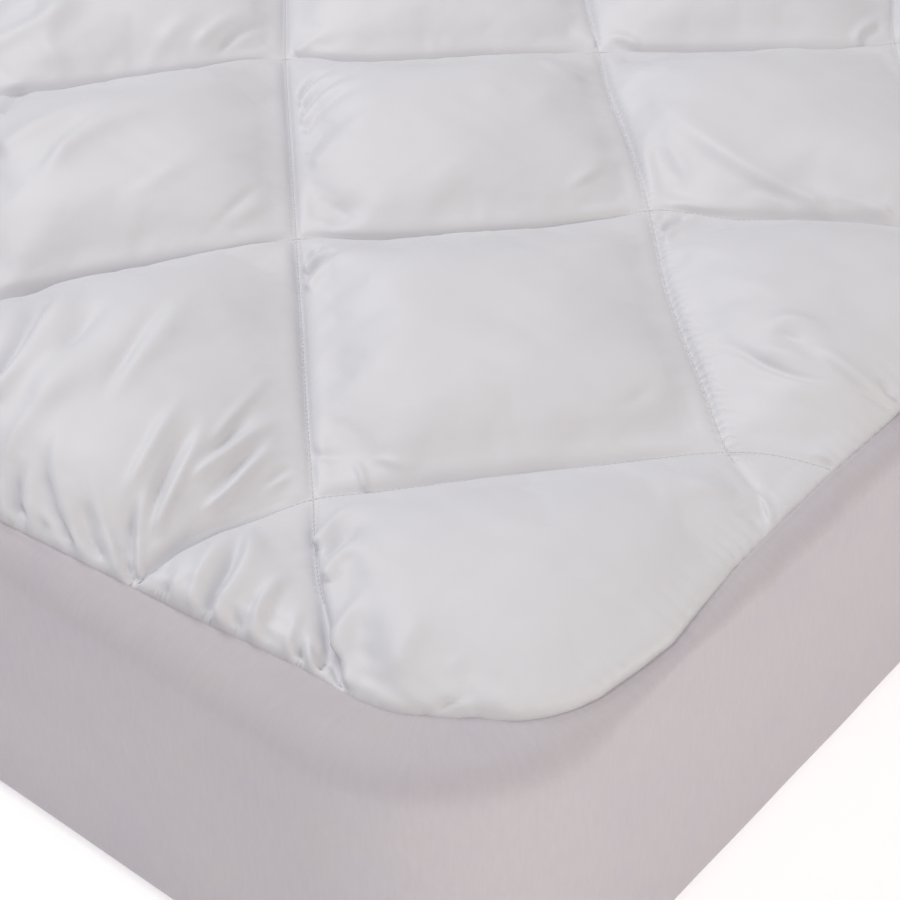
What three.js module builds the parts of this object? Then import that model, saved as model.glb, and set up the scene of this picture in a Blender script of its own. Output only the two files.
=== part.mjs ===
// A quilted, fitted mattress protector on a plain single mattress.
//
// Millimetres, +Z up. The origin is the middle of the underside, on the surface that the
// mattress lies on. The long sides run along Y. The corner at +X, -Y is the one whose quilting
// is pulled a little out of square and whose creases are placed one by one.

import * as THREE from 'three';

// Mattress
const MATTRESS_WIDTH = 900;
const MATTRESS_LENGTH = 1900;
const MATTRESS_HEIGHT = 200;
const MATTRESS_CORNER = 104; // corner radius in plan
const MATTRESS_TOP_EDGE = 22; // roundness of the upper rim
const MATTRESS_BOTTOM_EDGE = 18; // roundness of the lower rim

// Stretch-knit skirt: one piece, sewn to the panel, pulled down and tucked under
const KNIT_THICKNESS = 1.2;
const SKIRT_SHOULDER = 19; // largest outer radius where the knit rolls over the upper rim
const SEAM_SHELF = 3; // least flat knit between that roll and the seam
const SKIRT_BOTTOM_EDGE = 12; // outer radius where it turns under
const HEM_DEPTH = 70; // how far the elasticated hem reaches under the mattress
const PIECE_GAP = 0.3; // left between pieces that touch

// Seam between panel and skirt, measured in from the skirt's outer face
const SEAM_INSET = 17;
const CORNER_DRAW_IN = 17; // the short sides' extra inset beside each corner
const DRAW_IN_REACH = 300; // length over which that fades along a side

// Quilted panel
const QUILT_SIDE = 215; // side of one square between stitch lines, set at 45 degrees
const QUILT_ORIGIN = { x: 75, y: -655 }; // one crossing of two stitch lines
const CELL_CROWN = 22; // height of a filled cell above its stitch lines
const CHANNEL_THICKNESS = 4; // cloth and filling pressed together under a stitch line
const SEAM_THICKNESS = 3; // the panel's sewn edge
const EDGE_ROLL = 62; // width over which the panel thins towards its edge

// Fineness of the faceted surfaces
const STEPS_PER_HALF_CELL = 7; // grid steps in half a cell's diagonal
const CORNER_STEPS = 8; // facets of a corner in plan
const ROUND_STEPS = 4; // facets of a rim
const RIM_RINGS = [0, 9, 24]; // the panel's rings near its edge, measured in from the seam

// Stations along a straight side, as distances from the corner's end
const SIDE_STATIONS = [70, 140, 220, DRAW_IN_REACH];

// Sideways shifts of the stitch lines. A `ridge` line runs towards +X +Y and shifts towards the
// camera's corner, a `valley` line runs towards that corner and shifts to +X +Y. Lines are
// counted from QUILT_ORIGIN, and `at` counts squares along the line from there.
const LINE_SHIFTS = [
  { family: 'ridge', line: 1, at: -0.45, shift: 66 },
  { family: 'ridge', line: 1, at: -0.2, shift: 31 },
  { family: 'ridge', line: 1, at: 0, shift: 12 },
  { family: 'ridge', line: 1, at: 0.5, shift: 1 },
  { family: 'ridge', line: 1, at: 1, shift: -1 },
  { family: 'ridge', line: 1, at: 1.3, shift: 17 },
  { family: 'ridge', line: 0, at: -1.5, shift: 24 },
  { family: 'ridge', line: 0, at: -0.8, shift: 22 },
  { family: 'ridge', line: 0, at: -0.4, shift: 1 },
  { family: 'ridge', line: 0, at: 0, shift: -15 },
  { family: 'ridge', line: 0, at: 0.5, shift: -9 },
  { family: 'ridge', line: 0, at: 1, shift: -20 },
  { family: 'ridge', line: 0, at: 1.5, shift: -5 },
  { family: 'ridge', line: 0, at: 2, shift: 0 },
  { family: 'ridge', line: -1, at: -1.5, shift: 6 },
  { family: 'ridge', line: -1, at: 0, shift: -16 },
  { family: 'ridge', line: -1, at: 1, shift: -1 },
  { family: 'ridge', line: -1, at: 2, shift: 8 },
  { family: 'valley', line: 0, at: 1.2, shift: -4 },
  { family: 'valley', line: 0, at: 1.7, shift: 5 },
  { family: 'valley', line: 1, at: 0, shift: 1 },
  { family: 'valley', line: 1, at: 1, shift: 7 },
  { family: 'valley', line: 1, at: 1.2, shift: 16 },
];
const SHIFT_ROUNDS = 8; // rounds in which a place's unshifted one is found

// The main creases of the panel: soft ridges from a start through a middle point to an end
const CREASES = [
  { x0: 50, y0: -765, x1: 74, y1: -855, x2: 141, y2: -930, width: 17, height: 6 },
  { x0: 104, y0: -744, x1: 141, y1: -846, x2: 197, y2: -920, width: 17, height: 6 },
  { x0: -25, y0: -790, x1: 0, y1: -870, x2: 60, y2: -935, width: 18, height: 6 },
  { x0: 158, y0: -755, x1: 175, y1: -819, x2: 190, y2: -891, width: 18, height: 5 },
  { x0: 254, y0: -851, x1: 265, y1: -892, x2: 286, y2: -923, width: 18, height: 5 },
  { x0: 276, y0: -822, x1: 282, y1: -851, x2: 293, y2: -870, width: 18, height: 4 },
  { x0: 342, y0: -555, x1: 382, y1: -557, x2: 431, y2: -571, width: 16, height: 5 },
  { x0: 179, y0: -409, x1: 241, y1: -429, x2: 304, y2: -428, width: 17, height: 5 },
  { x0: -76, y0: -593, x1: -95, y1: -652, x2: -86, y2: -720, width: 18, height: 5 },
];

// Heights and sizes that follow from the ones above
const MATTRESS_BOTTOM = KNIT_THICKNESS + PIECE_GAP;
const MATTRESS_TOP = MATTRESS_BOTTOM + MATTRESS_HEIGHT;
const PANEL_BOTTOM = MATTRESS_TOP + PIECE_GAP;
const SKIRT_OFFSET = PIECE_GAP + KNIT_THICKNESS; // skirt's outer face beyond the mattress
const SKIRT_TOP = MATTRESS_TOP + SKIRT_OFFSET;
const HALF_DIAGONAL = QUILT_SIDE / Math.SQRT2;
const GRID_STEP = HALF_DIAGONAL / STEPS_PER_HALF_CELL;

const smooth = (t) => {
  const c = THREE.MathUtils.clamp(t, 0, 1);
  return c * c * (3 - 2 * c);
};

// Points round the skirt's outer face, anticlockwise from above: place, outward normal and the
// seam's own inset there.
function planStations() {
  const halfX = MATTRESS_WIDTH / 2 + SKIRT_OFFSET;
  const halfY = MATTRESS_LENGTH / 2 + SKIRT_OFFSET;
  const radius = MATTRESS_CORNER + SKIRT_OFFSET;
  const corners = [
    { x: halfX - radius, y: halfY - radius, start: 0, sideAfter: 'short' },
    { x: radius - halfX, y: halfY - radius, start: 90, sideAfter: 'long' },
    { x: radius - halfX, y: radius - halfY, start: 180, sideAfter: 'short' },
    { x: halfX - radius, y: radius - halfY, start: 270, sideAfter: 'long' },
  ];
  const stations = [];
  corners.forEach((corner, index) => {
    const entersFromLongSide = corner.sideAfter === 'short';
    for (let k = 0; k <= CORNER_STEPS; k += 1) {
      const share = k / CORNER_STEPS;
      const angle = THREE.MathUtils.degToRad(corner.start + 90 * share);
      const normal = { x: Math.cos(angle), y: Math.sin(angle) };
      const drawn = smooth(entersFromLongSide ? share : 1 - share);
      stations.push({
        x: corner.x + radius * normal.x,
        y: corner.y + radius * normal.y,
        normal,
        seam: SEAM_INSET + CORNER_DRAW_IN * drawn,
      });
    }
    const next = corners[(index + 1) % corners.length];
    stations.push(...sideStations(corner, next, radius));
  });
  return stations;
}

// The stations of the straight side between two corners, with none at its ends.
function sideStations(corner, next, radius) {
  const angle = THREE.MathUtils.degToRad(corner.start + 90);
  const normal = { x: Math.round(Math.cos(angle)), y: Math.round(Math.sin(angle)) };
  const length = Math.hypot(next.x - corner.x, next.y - corner.y);
  const along = { x: (next.x - corner.x) / length, y: (next.y - corner.y) / length };
  const distances = [
    ...SIDE_STATIONS.filter((d) => d < length / 2),
    length / 2,
    ...SIDE_STATIONS.filter((d) => d < length / 2).map((d) => length - d).reverse(),
  ];
  return distances.map((d) => {
    const near = Math.min(d, length - d);
    const drawn = corner.sideAfter === 'short' ? smooth(1 - near / DRAW_IN_REACH) : 0;
    return {
      x: corner.x + along.x * d + normal.x * radius,
      y: corner.y + along.y * d + normal.y * radius,
      normal,
      seam: SEAM_INSET + CORNER_DRAW_IN * drawn,
    };
  });
}

// A station's point at an inset from the skirt's outer face.
function insetPoint(station, inset, z) {
  return [station.x - station.normal.x * inset, station.y - station.normal.y * inset, z];
}

function meshFrom(name, points, triangles, material) {
  const geometry = new THREE.BufferGeometry();
  geometry.setAttribute('position', new THREE.Float32BufferAttribute(points.flat(), 3));
  geometry.setIndex(triangles.flat());
  geometry.computeVertexNormals();
  const mesh = new THREE.Mesh(geometry, material);
  mesh.name = name;
  return mesh;
}

// Triangles between rows of points that run round the stations, each row one step further
// along a profile that starts low inside and rises outside.
function bandTriangles(rowCount, rowLength, closed) {
  const triangles = [];
  const rows = closed ? rowCount : rowCount - 1;
  for (let row = 0; row < rows; row += 1) {
    const nextRow = (row + 1) % rowCount;
    for (let k = 0; k < rowLength; k += 1) {
      const nextK = (k + 1) % rowLength;
      const a = row * rowLength + k;
      const b = row * rowLength + nextK;
      const c = nextRow * rowLength + nextK;
      const d = nextRow * rowLength + k;
      triangles.push([a, b, c], [a, c, d]);
    }
  }
  return triangles;
}

// Quarter-round points of a rim as inset and height, from its lower end to its upper end.
function rimArc(insetCentre, zCentre, radius, fromDegrees) {
  const arc = [];
  for (let k = 0; k <= ROUND_STEPS; k += 1) {
    const angle = THREE.MathUtils.degToRad(fromDegrees + (90 * k) / ROUND_STEPS);
    arc.push({ inset: insetCentre - radius * Math.cos(angle), z: zCentre + radius * Math.sin(angle) });
  }
  return arc;
}

// The plain mattress: flat top and underside, upright sides and rounded rims.
function makeMattress(stations, material) {
  const profile = [
    ...rimArc(
      SKIRT_OFFSET + MATTRESS_BOTTOM_EDGE, MATTRESS_BOTTOM + MATTRESS_BOTTOM_EDGE,
      MATTRESS_BOTTOM_EDGE, -90,
    ),
    ...rimArc(
      SKIRT_OFFSET + MATTRESS_TOP_EDGE, MATTRESS_TOP - MATTRESS_TOP_EDGE, MATTRESS_TOP_EDGE, 0,
    ),
  ];
  const points = profile.flatMap((p) => stations.map((s) => insetPoint(s, p.inset, p.z)));
  const triangles = bandTriangles(profile.length, stations.length, false);
  const underside = points.push([0, 0, MATTRESS_BOTTOM]) - 1;
  const top = points.push([0, 0, MATTRESS_TOP]) - 1;
  const lastRow = (profile.length - 1) * stations.length;
  for (let k = 0; k < stations.length; k += 1) {
    const next = (k + 1) % stations.length;
    triangles.push([underside, next, k], [top, lastRow + k, lastRow + next]);
  }
  return meshFrom('mattress', points, triangles, material);
}

// The skirt's outer face, from the hem's inner edge out, up the side and in to the seam.
function skirtFace(station, offset) {
  const bottomRadius = SKIRT_BOTTOM_EDGE - offset;
  const shoulder = Math.min(SKIRT_SHOULDER, station.seam - SEAM_SHELF);
  const top = SKIRT_TOP - offset;
  return [
    { inset: SKIRT_OFFSET + HEM_DEPTH, z: offset },
    ...rimArc(SKIRT_BOTTOM_EDGE, SKIRT_BOTTOM_EDGE, bottomRadius, -90),
    ...rimArc(shoulder, SKIRT_TOP - shoulder, shoulder - offset, 0),
    { inset: station.seam - PIECE_GAP / 2, z: top },
  ];
}

// The skirt as one sheet: its outer face, then its inner face back down.
function makeSkirt(stations, material) {
  const loops = stations.map((s) => [
    ...skirtFace(s, 0),
    ...skirtFace(s, KNIT_THICKNESS).reverse(),
  ]);
  const rowCount = loops[0].length;
  const points = [];
  for (let row = 0; row < rowCount; row += 1) {
    stations.forEach((s, k) => points.push(insetPoint(s, loops[k][row].inset, loops[k][row].z)));
  }
  const triangles = bandTriangles(rowCount, stations.length, true);
  return meshFrom('skirt', points, triangles, material);
}

// The panel's outline: the seam line between stations, in pieces no longer than a grid step.
function panelOutline(stations) {
  const outline = [];
  stations.forEach((from, index) => {
    const to = stations[(index + 1) % stations.length];
    const a = insetPoint(from, from.seam + PIECE_GAP / 2, 0);
    const b = insetPoint(to, to.seam + PIECE_GAP / 2, 0);
    const pieces = Math.max(1, Math.ceil(Math.hypot(b[0] - a[0], b[1] - a[1]) / GRID_STEP));
    for (let k = 0; k < pieces; k += 1) {
      const t = k / pieces;
      outline.push({
        x: THREE.MathUtils.lerp(a[0], b[0], t),
        y: THREE.MathUtils.lerp(a[1], b[1], t),
        normal: {
          x: THREE.MathUtils.lerp(from.normal.x, to.normal.x, t),
          y: THREE.MathUtils.lerp(from.normal.y, to.normal.y, t),
        },
      });
    }
  });
  return outline;
}

// Distance of a point inside the outline from it.
function distanceToOutline(x, y, outline) {
  let nearest = Infinity;
  outline.forEach((a, index) => {
    const b = outline[(index + 1) % outline.length];
    const length2 = (b.x - a.x) ** 2 + (b.y - a.y) ** 2;
    const t = THREE.MathUtils.clamp(
      ((x - a.x) * (b.x - a.x) + (y - a.y) * (b.y - a.y)) / length2, 0, 1,
    );
    nearest = Math.min(nearest, Math.hypot(a.x + t * (b.x - a.x) - x, a.y + t * (b.y - a.y) - y));
  });
  return nearest;
}

// Squares counted from the origin along both stitch directions.
function quiltCounts(x, y) {
  const dx = x - QUILT_ORIGIN.x;
  const dy = y - QUILT_ORIGIN.y;
  return { ridge: (dx + dy) / (2 * HALF_DIAGONAL), valley: (dx - dy) / (2 * HALF_DIAGONAL) };
}

// A stitch line's shift at a count along it, level beyond its first and last row.
function lineShift(family, line, at) {
  const rows = LINE_SHIFTS.filter((row) => row.family === family && row.line === line);
  if (rows.length === 0) return 0;
  const next = rows.findIndex((row) => row.at > at);
  if (next <= 0) return next === 0 ? rows[0].shift : rows[rows.length - 1].shift;
  const [a, b] = [rows[next - 1], rows[next]];
  return THREE.MathUtils.mapLinear(at, a.at, b.at, a.shift, b.shift);
}

// Sideways shift of the quilting at an unshifted place, blended between the lines beside it.
function quiltShift(x, y) {
  const counts = quiltCounts(x, y);
  const between = (family, across, along) => {
    const line = Math.floor(across);
    return THREE.MathUtils.lerp(
      lineShift(family, line, along), lineShift(family, line + 1, along), across - line,
    );
  };
  const near = between('ridge', counts.valley, counts.ridge) / Math.SQRT2;
  const right = between('valley', counts.ridge, counts.valley) / Math.SQRT2;
  return { dx: right + near, dy: right - near };
}

// The unshifted place whose shifted one is (x, y).
function unshifted(x, y) {
  let place = { x, y };
  for (let round = 0; round < SHIFT_ROUNDS; round += 1) {
    const shift = quiltShift(place.x, place.y);
    place = { x: x - shift.dx, y: y - shift.dy };
  }
  return place;
}

// How full a cell is at an unshifted place: 0 on a stitch line, 1 in a cell's middle.
function cellFullness(x, y) {
  const counts = quiltCounts(x, y);
  const s = counts.ridge - Math.floor(counts.ridge);
  const t = counts.valley - Math.floor(counts.valley);
  return Math.sqrt(16 * s * (1 - s) * t * (1 - t));
}

// Height that the creases add at a place.
function creaseHeight(x, y) {
  let height = 0;
  CREASES.forEach((c) => {
    const length = Math.hypot(c.x2 - c.x0, c.y2 - c.y0);
    const ux = (c.x2 - c.x0) / length;
    const uy = (c.y2 - c.y0) / length;
    const t = ((x - c.x0) * ux + (y - c.y0) * uy) / length;
    if (t < 0 || t > 1) return;
    const bow = (c.x1 - c.x0) * -uy + (c.y1 - c.y0) * ux;
    const side = (x - c.x0) * -uy + (y - c.y0) * ux - bow * 4 * t * (1 - t);
    height += c.height * Math.exp(-((side / c.width) ** 2)) * Math.sqrt(Math.sin(Math.PI * t));
  });
  return height;
}

// Height of the panel's upper face at (x, y), whose unshifted place is (qx, qy).
function panelTop(x, y, qx, qy, edgeDistance) {
  const inward = 1 - Math.min(edgeDistance / EDGE_ROLL, 1);
  const roll = Math.sqrt(1 - inward * inward);
  const fullness = cellFullness(qx, qy);
  const sewn = THREE.MathUtils.lerp(SEAM_THICKNESS, CHANNEL_THICKNESS, roll);
  return PANEL_BOTTOM + sewn + roll * fullness * (CELL_CROWN + creaseHeight(x, y));
}

// The squares between the grid points inside the panel, cut along the stitch lines.
function panelGrid(outline, addPoint) {
  const margin = RIM_RINGS[RIM_RINGS.length - 1] + GRID_STEP / 2;
  const reach = Math.ceil(MATTRESS_LENGTH / GRID_STEP);
  const indexOf = new Map();
  for (let m = -reach; m <= reach; m += 1) {
    for (let n = -reach; n <= reach; n += 1) {
      const qx = QUILT_ORIGIN.x + m * GRID_STEP;
      const qy = QUILT_ORIGIN.y + n * GRID_STEP;
      const shift = quiltShift(qx, qy);
      const x = qx + shift.dx;
      const y = qy + shift.dy;
      const inside = Math.abs(x) < MATTRESS_WIDTH / 2 && Math.abs(y) < MATTRESS_LENGTH / 2;
      if (inside && insideOutline(x, y, outline)) {
        const d = distanceToOutline(x, y, outline);
        if (d > margin) indexOf.set(`${m},${n}`, addPoint([x, y, panelTop(x, y, qx, qy, d)]));
      }
    }
  }
  return gridSquares(indexOf);
}

function insideOutline(x, y, outline) {
  let inside = false;
  outline.forEach((a, index) => {
    const b = outline[(index + 1) % outline.length];
    if ((a.y > y) !== (b.y > y) && x < a.x + ((y - a.y) * (b.x - a.x)) / (b.y - a.y)) {
      inside = !inside;
    }
  });
  return inside;
}

// Two triangles for each whole square. The cut follows the nearer of the two stitch directions,
// so that every stitch line lies on edges of the grid.
function gridSquares(indexOf) {
  const cell = 2 * STEPS_PER_HALF_CELL;
  const offLine = (k) => Math.min(((k % cell) + cell) % cell, cell - (((k % cell) + cell) % cell));
  const triangles = [];
  indexOf.forEach((a, key) => {
    const [m, n] = key.split(',').map(Number);
    const b = indexOf.get(`${m + 1},${n}`);
    const c = indexOf.get(`${m + 1},${n + 1}`);
    const d = indexOf.get(`${m},${n + 1}`);
    if (b === undefined || c === undefined || d === undefined) return;
    if (offLine(m - n) < offLine(m + n + 1)) {
      triangles.push([a, b, c], [a, c, d]);
    } else {
      triangles.push([a, b, d], [b, c, d]);
    }
  });
  return triangles;
}

// The loop of edges that only one triangle uses, in the triangles' own direction.
function boundaryLoop(triangles) {
  const next = new Map();
  const edges = new Set(triangles.flatMap(([a, b, c]) => [`${a},${b}`, `${b},${c}`, `${c},${a}`]));
  edges.forEach((edge) => {
    const [a, b] = edge.split(',').map(Number);
    if (!edges.has(`${b},${a}`)) next.set(a, b);
  });
  const [start] = next.keys();
  const loop = [start];
  for (let at = next.get(start); at !== start; at = next.get(at)) loop.push(at);
  return loop;
}

// Triangles that fill the band between an outer ring and an inner loop, both anticlockwise,
// always adding the shorter of the two possible edges.
function fillBand(outer, inner, points) {
  const gap = (i, j) => Math.hypot(points[i][0] - points[j][0], points[i][1] - points[j][1]);
  let first = 0;
  inner.forEach((index, k) => {
    if (gap(index, outer[0]) < gap(inner[first], outer[0])) first = k;
  });
  const loop = [...inner.slice(first), ...inner.slice(0, first + 1)];
  const ring = [...outer, outer[0]];
  const triangles = [];
  let a = 0;
  let b = 0;
  while (a < ring.length - 1 || b < loop.length - 1) {
    const canStepOut = a < ring.length - 1;
    const canStepIn = b < loop.length - 1;
    const stepOut = canStepOut
      && (!canStepIn || gap(ring[a + 1], loop[b]) <= gap(ring[a], loop[b + 1]));
    if (stepOut) {
      triangles.push([ring[a], ring[a + 1], loop[b]]);
      a += 1;
    } else {
      triangles.push([ring[a], loop[b + 1], loop[b]]);
      b += 1;
    }
  }
  return triangles;
}

// The filled panel: crowned cells between sewn lines, thinning to its sewn edge, flat below.
function makePanel(stations, material) {
  const outline = panelOutline(stations);
  const points = [];
  const addPoint = (point) => points.push(point) - 1;
  const rings = RIM_RINGS.map((inset) => outline.map((o) => {
    const [x, y] = insetPoint(o, inset, 0);
    const place = unshifted(x, y);
    return addPoint([x, y, panelTop(x, y, place.x, place.y, inset)]);
  }));
  const squares = panelGrid(outline, addPoint);
  const triangles = [...squares];
  const count = outline.length;
  for (let row = 0; row < rings.length - 1; row += 1) {
    for (let k = 0; k < count; k += 1) {
      const next = (k + 1) % count;
      const [a, b] = [rings[row][k], rings[row][next]];
      const [c, d] = [rings[row + 1][next], rings[row + 1][k]];
      triangles.push([a, b, c], [a, c, d]);
    }
  }
  triangles.push(...fillBand(rings[rings.length - 1], boundaryLoop(squares), points));
  const below = outline.map((o) => addPoint([o.x, o.y, PANEL_BOTTOM]));
  const middle = addPoint([0, 0, PANEL_BOTTOM]);
  for (let k = 0; k < count; k += 1) {
    const next = (k + 1) % count;
    triangles.push([below[k], below[next], rings[0][next]], [below[k], rings[0][next], rings[0][k]]);
    triangles.push([middle, below[next], below[k]]);
  }
  return meshFrom('quilted_panel', points, triangles, material);
}

const microfibre = new THREE.MeshStandardMaterial({ color: 0xd9d9de, roughness: 0.62, metalness: 0 });
const stretchKnit = new THREE.MeshStandardMaterial({ color: 0xc2bcbd, roughness: 0.9, metalness: 0 });
const ticking = new THREE.MeshStandardMaterial({ color: 0xe6e3dc, roughness: 0.85, metalness: 0 });

const stations = planStations();
const protectorOnMattress = new THREE.Group();
protectorOnMattress.add(makeMattress(stations, ticking));
protectorOnMattress.add(makeSkirt(stations, stretchKnit));
protectorOnMattress.add(makePanel(stations, microfibre));

export default protectorOnMattress;
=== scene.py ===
"""A quilted, fitted mattress protector on a plain single mattress, with one corner to the camera.

Metres, +Z up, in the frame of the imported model. Folds that the photograph shows are placed in the
pixels of its picture. Rows of the seam, shifts of stitch lines and creases are in millimetres.
"""

import logging
import math
from dataclasses import dataclass, field
from enum import Enum

import bpy
import numpy as np
from mathutils import Matrix, Vector


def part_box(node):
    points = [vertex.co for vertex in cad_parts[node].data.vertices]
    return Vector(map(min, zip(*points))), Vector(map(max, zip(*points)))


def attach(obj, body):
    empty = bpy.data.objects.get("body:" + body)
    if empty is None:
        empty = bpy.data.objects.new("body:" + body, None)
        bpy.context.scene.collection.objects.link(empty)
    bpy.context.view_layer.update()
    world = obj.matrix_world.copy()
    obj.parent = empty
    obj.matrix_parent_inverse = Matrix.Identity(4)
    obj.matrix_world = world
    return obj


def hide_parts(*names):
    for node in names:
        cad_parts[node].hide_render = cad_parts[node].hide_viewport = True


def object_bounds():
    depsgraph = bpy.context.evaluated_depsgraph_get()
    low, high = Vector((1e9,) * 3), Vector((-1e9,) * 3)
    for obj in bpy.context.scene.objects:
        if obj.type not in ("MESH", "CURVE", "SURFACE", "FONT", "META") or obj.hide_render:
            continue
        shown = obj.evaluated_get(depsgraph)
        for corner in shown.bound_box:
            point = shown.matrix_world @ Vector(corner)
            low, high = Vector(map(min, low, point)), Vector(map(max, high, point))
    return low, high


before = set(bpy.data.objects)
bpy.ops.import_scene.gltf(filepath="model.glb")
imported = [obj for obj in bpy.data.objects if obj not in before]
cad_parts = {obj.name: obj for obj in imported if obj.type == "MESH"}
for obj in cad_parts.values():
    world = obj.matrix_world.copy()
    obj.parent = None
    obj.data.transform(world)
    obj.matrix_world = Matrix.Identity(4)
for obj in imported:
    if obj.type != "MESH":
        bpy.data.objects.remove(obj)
CAD_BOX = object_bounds()

LOG = logging.getLogger("protector")
MM = 0.001
WANDER_WAVES = ((1.0, 0.3), (1.618, 2.1), (2.414, 4.0), (3.303, 1.2))
WANDER_HEIGHT = 2.4
FLANK_REACH = 2.6
EDGE_SNAP = 0.35 * MM
NOTHING = 1e-6
TINY = 1e-9

Array = np.ndarray
Socket = bpy.types.NodeSocket


def smooth(t: Array) -> Array:
    """Ease from 0 to 1 with level ends.

    Args:
        t: Values, of which those under 0 and over 1 are clipped.

    Returns:
        The eased values.
    """
    c = np.clip(t, 0.0, 1.0)
    return c * c * (3.0 - 2.0 * c)


def hump(away: Array) -> Array:
    """A rounded hump that starts at 0, is 1 high at 1 and fades beyond."""
    return away * np.exp(1 - away)


def cubic(a: Array, b: Array, c: Array, d: Array, t: Array) -> Array:
    """The smooth curve from b to c through four evenly spaced values, at shares t of the way."""
    return 0.5 * (2 * b + (c - a) * t + (2 * a - 5 * b + 4 * c - d) * t**2
                  + (3 * b - a - 3 * c + d) * t**3)


def wander(x: Array, seed: float) -> Array:
    """A smooth irregular curve between about -1 and 1 with waves about 4 units long.

    Args:
        x: Places along the curve.
        seed: Shifts the waves, so that curves differ.

    Returns:
        The curve's height at each place.
    """
    total = sum(np.sin(x * f + p + seed * (1.7 + f)) for f, p in WANDER_WAVES)
    return total / WANDER_HEIGHT


def uneven(x: Array, y: Array, size: float, seed: float) -> Array:
    """A smooth irregular surface between about -1 and 1, from two bent waves that cross.

    Args:
        x: Places across.
        y: Places along.
        size: Width of a typical hump.
        seed: Shifts the humps.

    Returns:
        The surface's height at each place.
    """
    k = math.pi / size / 2.0
    first = wander((0.9 * x + 0.45 * y) * k + 1.3 * np.sin((y - x) * k * 0.6 + seed), seed)
    second = wander((0.35 * x - 0.95 * y) * k + 1.1 * np.sin((x + y) * k * 0.5), seed + 2.0)
    return 0.5 * (first + second)


def off_line(count: Array) -> Array:
    """Signed distance from the nearest stitch line, in counts of squares."""
    return count - np.round(count)


def grid_quads(shape: tuple[int, int]) -> Array:
    """The squares of a grid of points that are numbered row by row, as four numbers each.

    Args:
        shape: How many rows and columns the grid has.

    Returns:
        A row of four point numbers for each square, in order round it.
    """
    number = np.arange(shape[0] * shape[1]).reshape(shape)
    corners = (number[:-1, :-1], number[:-1, 1:], number[1:, 1:], number[1:, :-1])
    return np.stack(corners, axis=2).reshape(-1, 4)


def new_numbers(used: Array, count: int) -> Array:
    """The numbers that points get when only the used ones of them are kept.

    Args:
        used: The numbers of the points that are kept, rising.
        count: How many points there were.

    Returns:
        The new number of each point, which is only right for a kept one.
    """
    numbers = np.zeros(count, dtype=int)
    numbers[used] = np.arange(used.size)
    return numbers


def make_active(piece: bpy.types.Object) -> None:
    """Select one object alone and make it the active one."""
    deselect_all()
    piece.select_set(True)
    bpy.context.view_layer.objects.active = piece


def deselect_all() -> None:
    """Clear the selection in object mode."""
    for piece in bpy.context.selected_objects:
        piece.select_set(False)


def turn_outwards() -> None:
    """Turn all faces of the mesh in edit mode outwards and go back to object mode."""
    bpy.ops.mesh.select_all(action="SELECT")
    bpy.ops.mesh.normals_make_consistent(inside=False)
    bpy.ops.object.mode_set(mode="OBJECT")


def object_from(name: str, points: Array, faces: list) -> bpy.types.Object:
    """Make a mesh object at the origin from points in metres.

    Args:
        name: The piece's name.
        points: One row of x, y, z for each vertex.
        faces: Vertex indices of each face, anticlockwise from outside.

    Returns:
        The new object, linked to the scene and smooth shaded.
    """
    mesh = bpy.data.meshes.new(name)
    mesh.from_pydata(np.asarray(points).tolist(), [], faces)
    mesh.update()
    piece = bpy.data.objects.new(name, mesh)
    bpy.context.scene.collection.objects.link(piece)
    make_active(piece)
    bpy.ops.object.shade_smooth()
    return piece


def lay_map(piece: bpy.types.Object, name: str, places: Array) -> None:
    """Give a piece a UV map from a place for each of its face corners.

    Args:
        piece: The piece.
        name: The map's name.
        places: A row for each face corner.
    """
    piece.data.uv_layers.new(name=name).data.foreach_set("uv", places.ravel())


class Family(Enum):
    """The two families of stitch lines, named by how the picture shows them."""

    DOWN = "down"
    ACROSS = "across"


@dataclass(frozen=True)
class Viewpoint:
    """Where the photograph was taken from, and how it shows places in its square picture."""

    place: tuple[float, float, float] = (0.898, -1.492, 1.024)
    right: tuple[float, float, float] = (0.7715, 0.6360, -0.0138)
    up: tuple[float, float, float] = (-0.3984, 0.5000, 0.7689)
    lens: float = 94.209
    sensor: float = 36.0
    picture: float = 900.0

    def axes(self) -> tuple[Vector, Vector, Vector]:
        """The camera's own directions: right, up and back."""
        right = Vector(self.right).normalized()
        back = right.cross(Vector(self.up)).normalized()
        return right, back.cross(right), back

    def pixels(self, points: Array) -> tuple[Array, Array]:
        """Where places show in the picture.

        Args:
            points: Places, with x, y and z in the last axis.

        Returns:
            Pixels from the picture's left and from its top.
        """
        away = points - np.array(self.place)
        right, up, back = (away @ np.array(axis) for axis in self.axes())
        scale = self.picture * self.lens / self.sensor / -back
        return self.picture / 2 + right * scale, self.picture / 2 - up * scale


@dataclass(frozen=True)
class SeamRow:
    """The seam at one place beside a corner.

    along is measured from the corner's middle, negative on the short side. inset is the seam's
    distance in from the skirt's face, and overhang is how far the panel swells out over it.
    """

    along: float
    inset: float
    overhang: float


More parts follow.
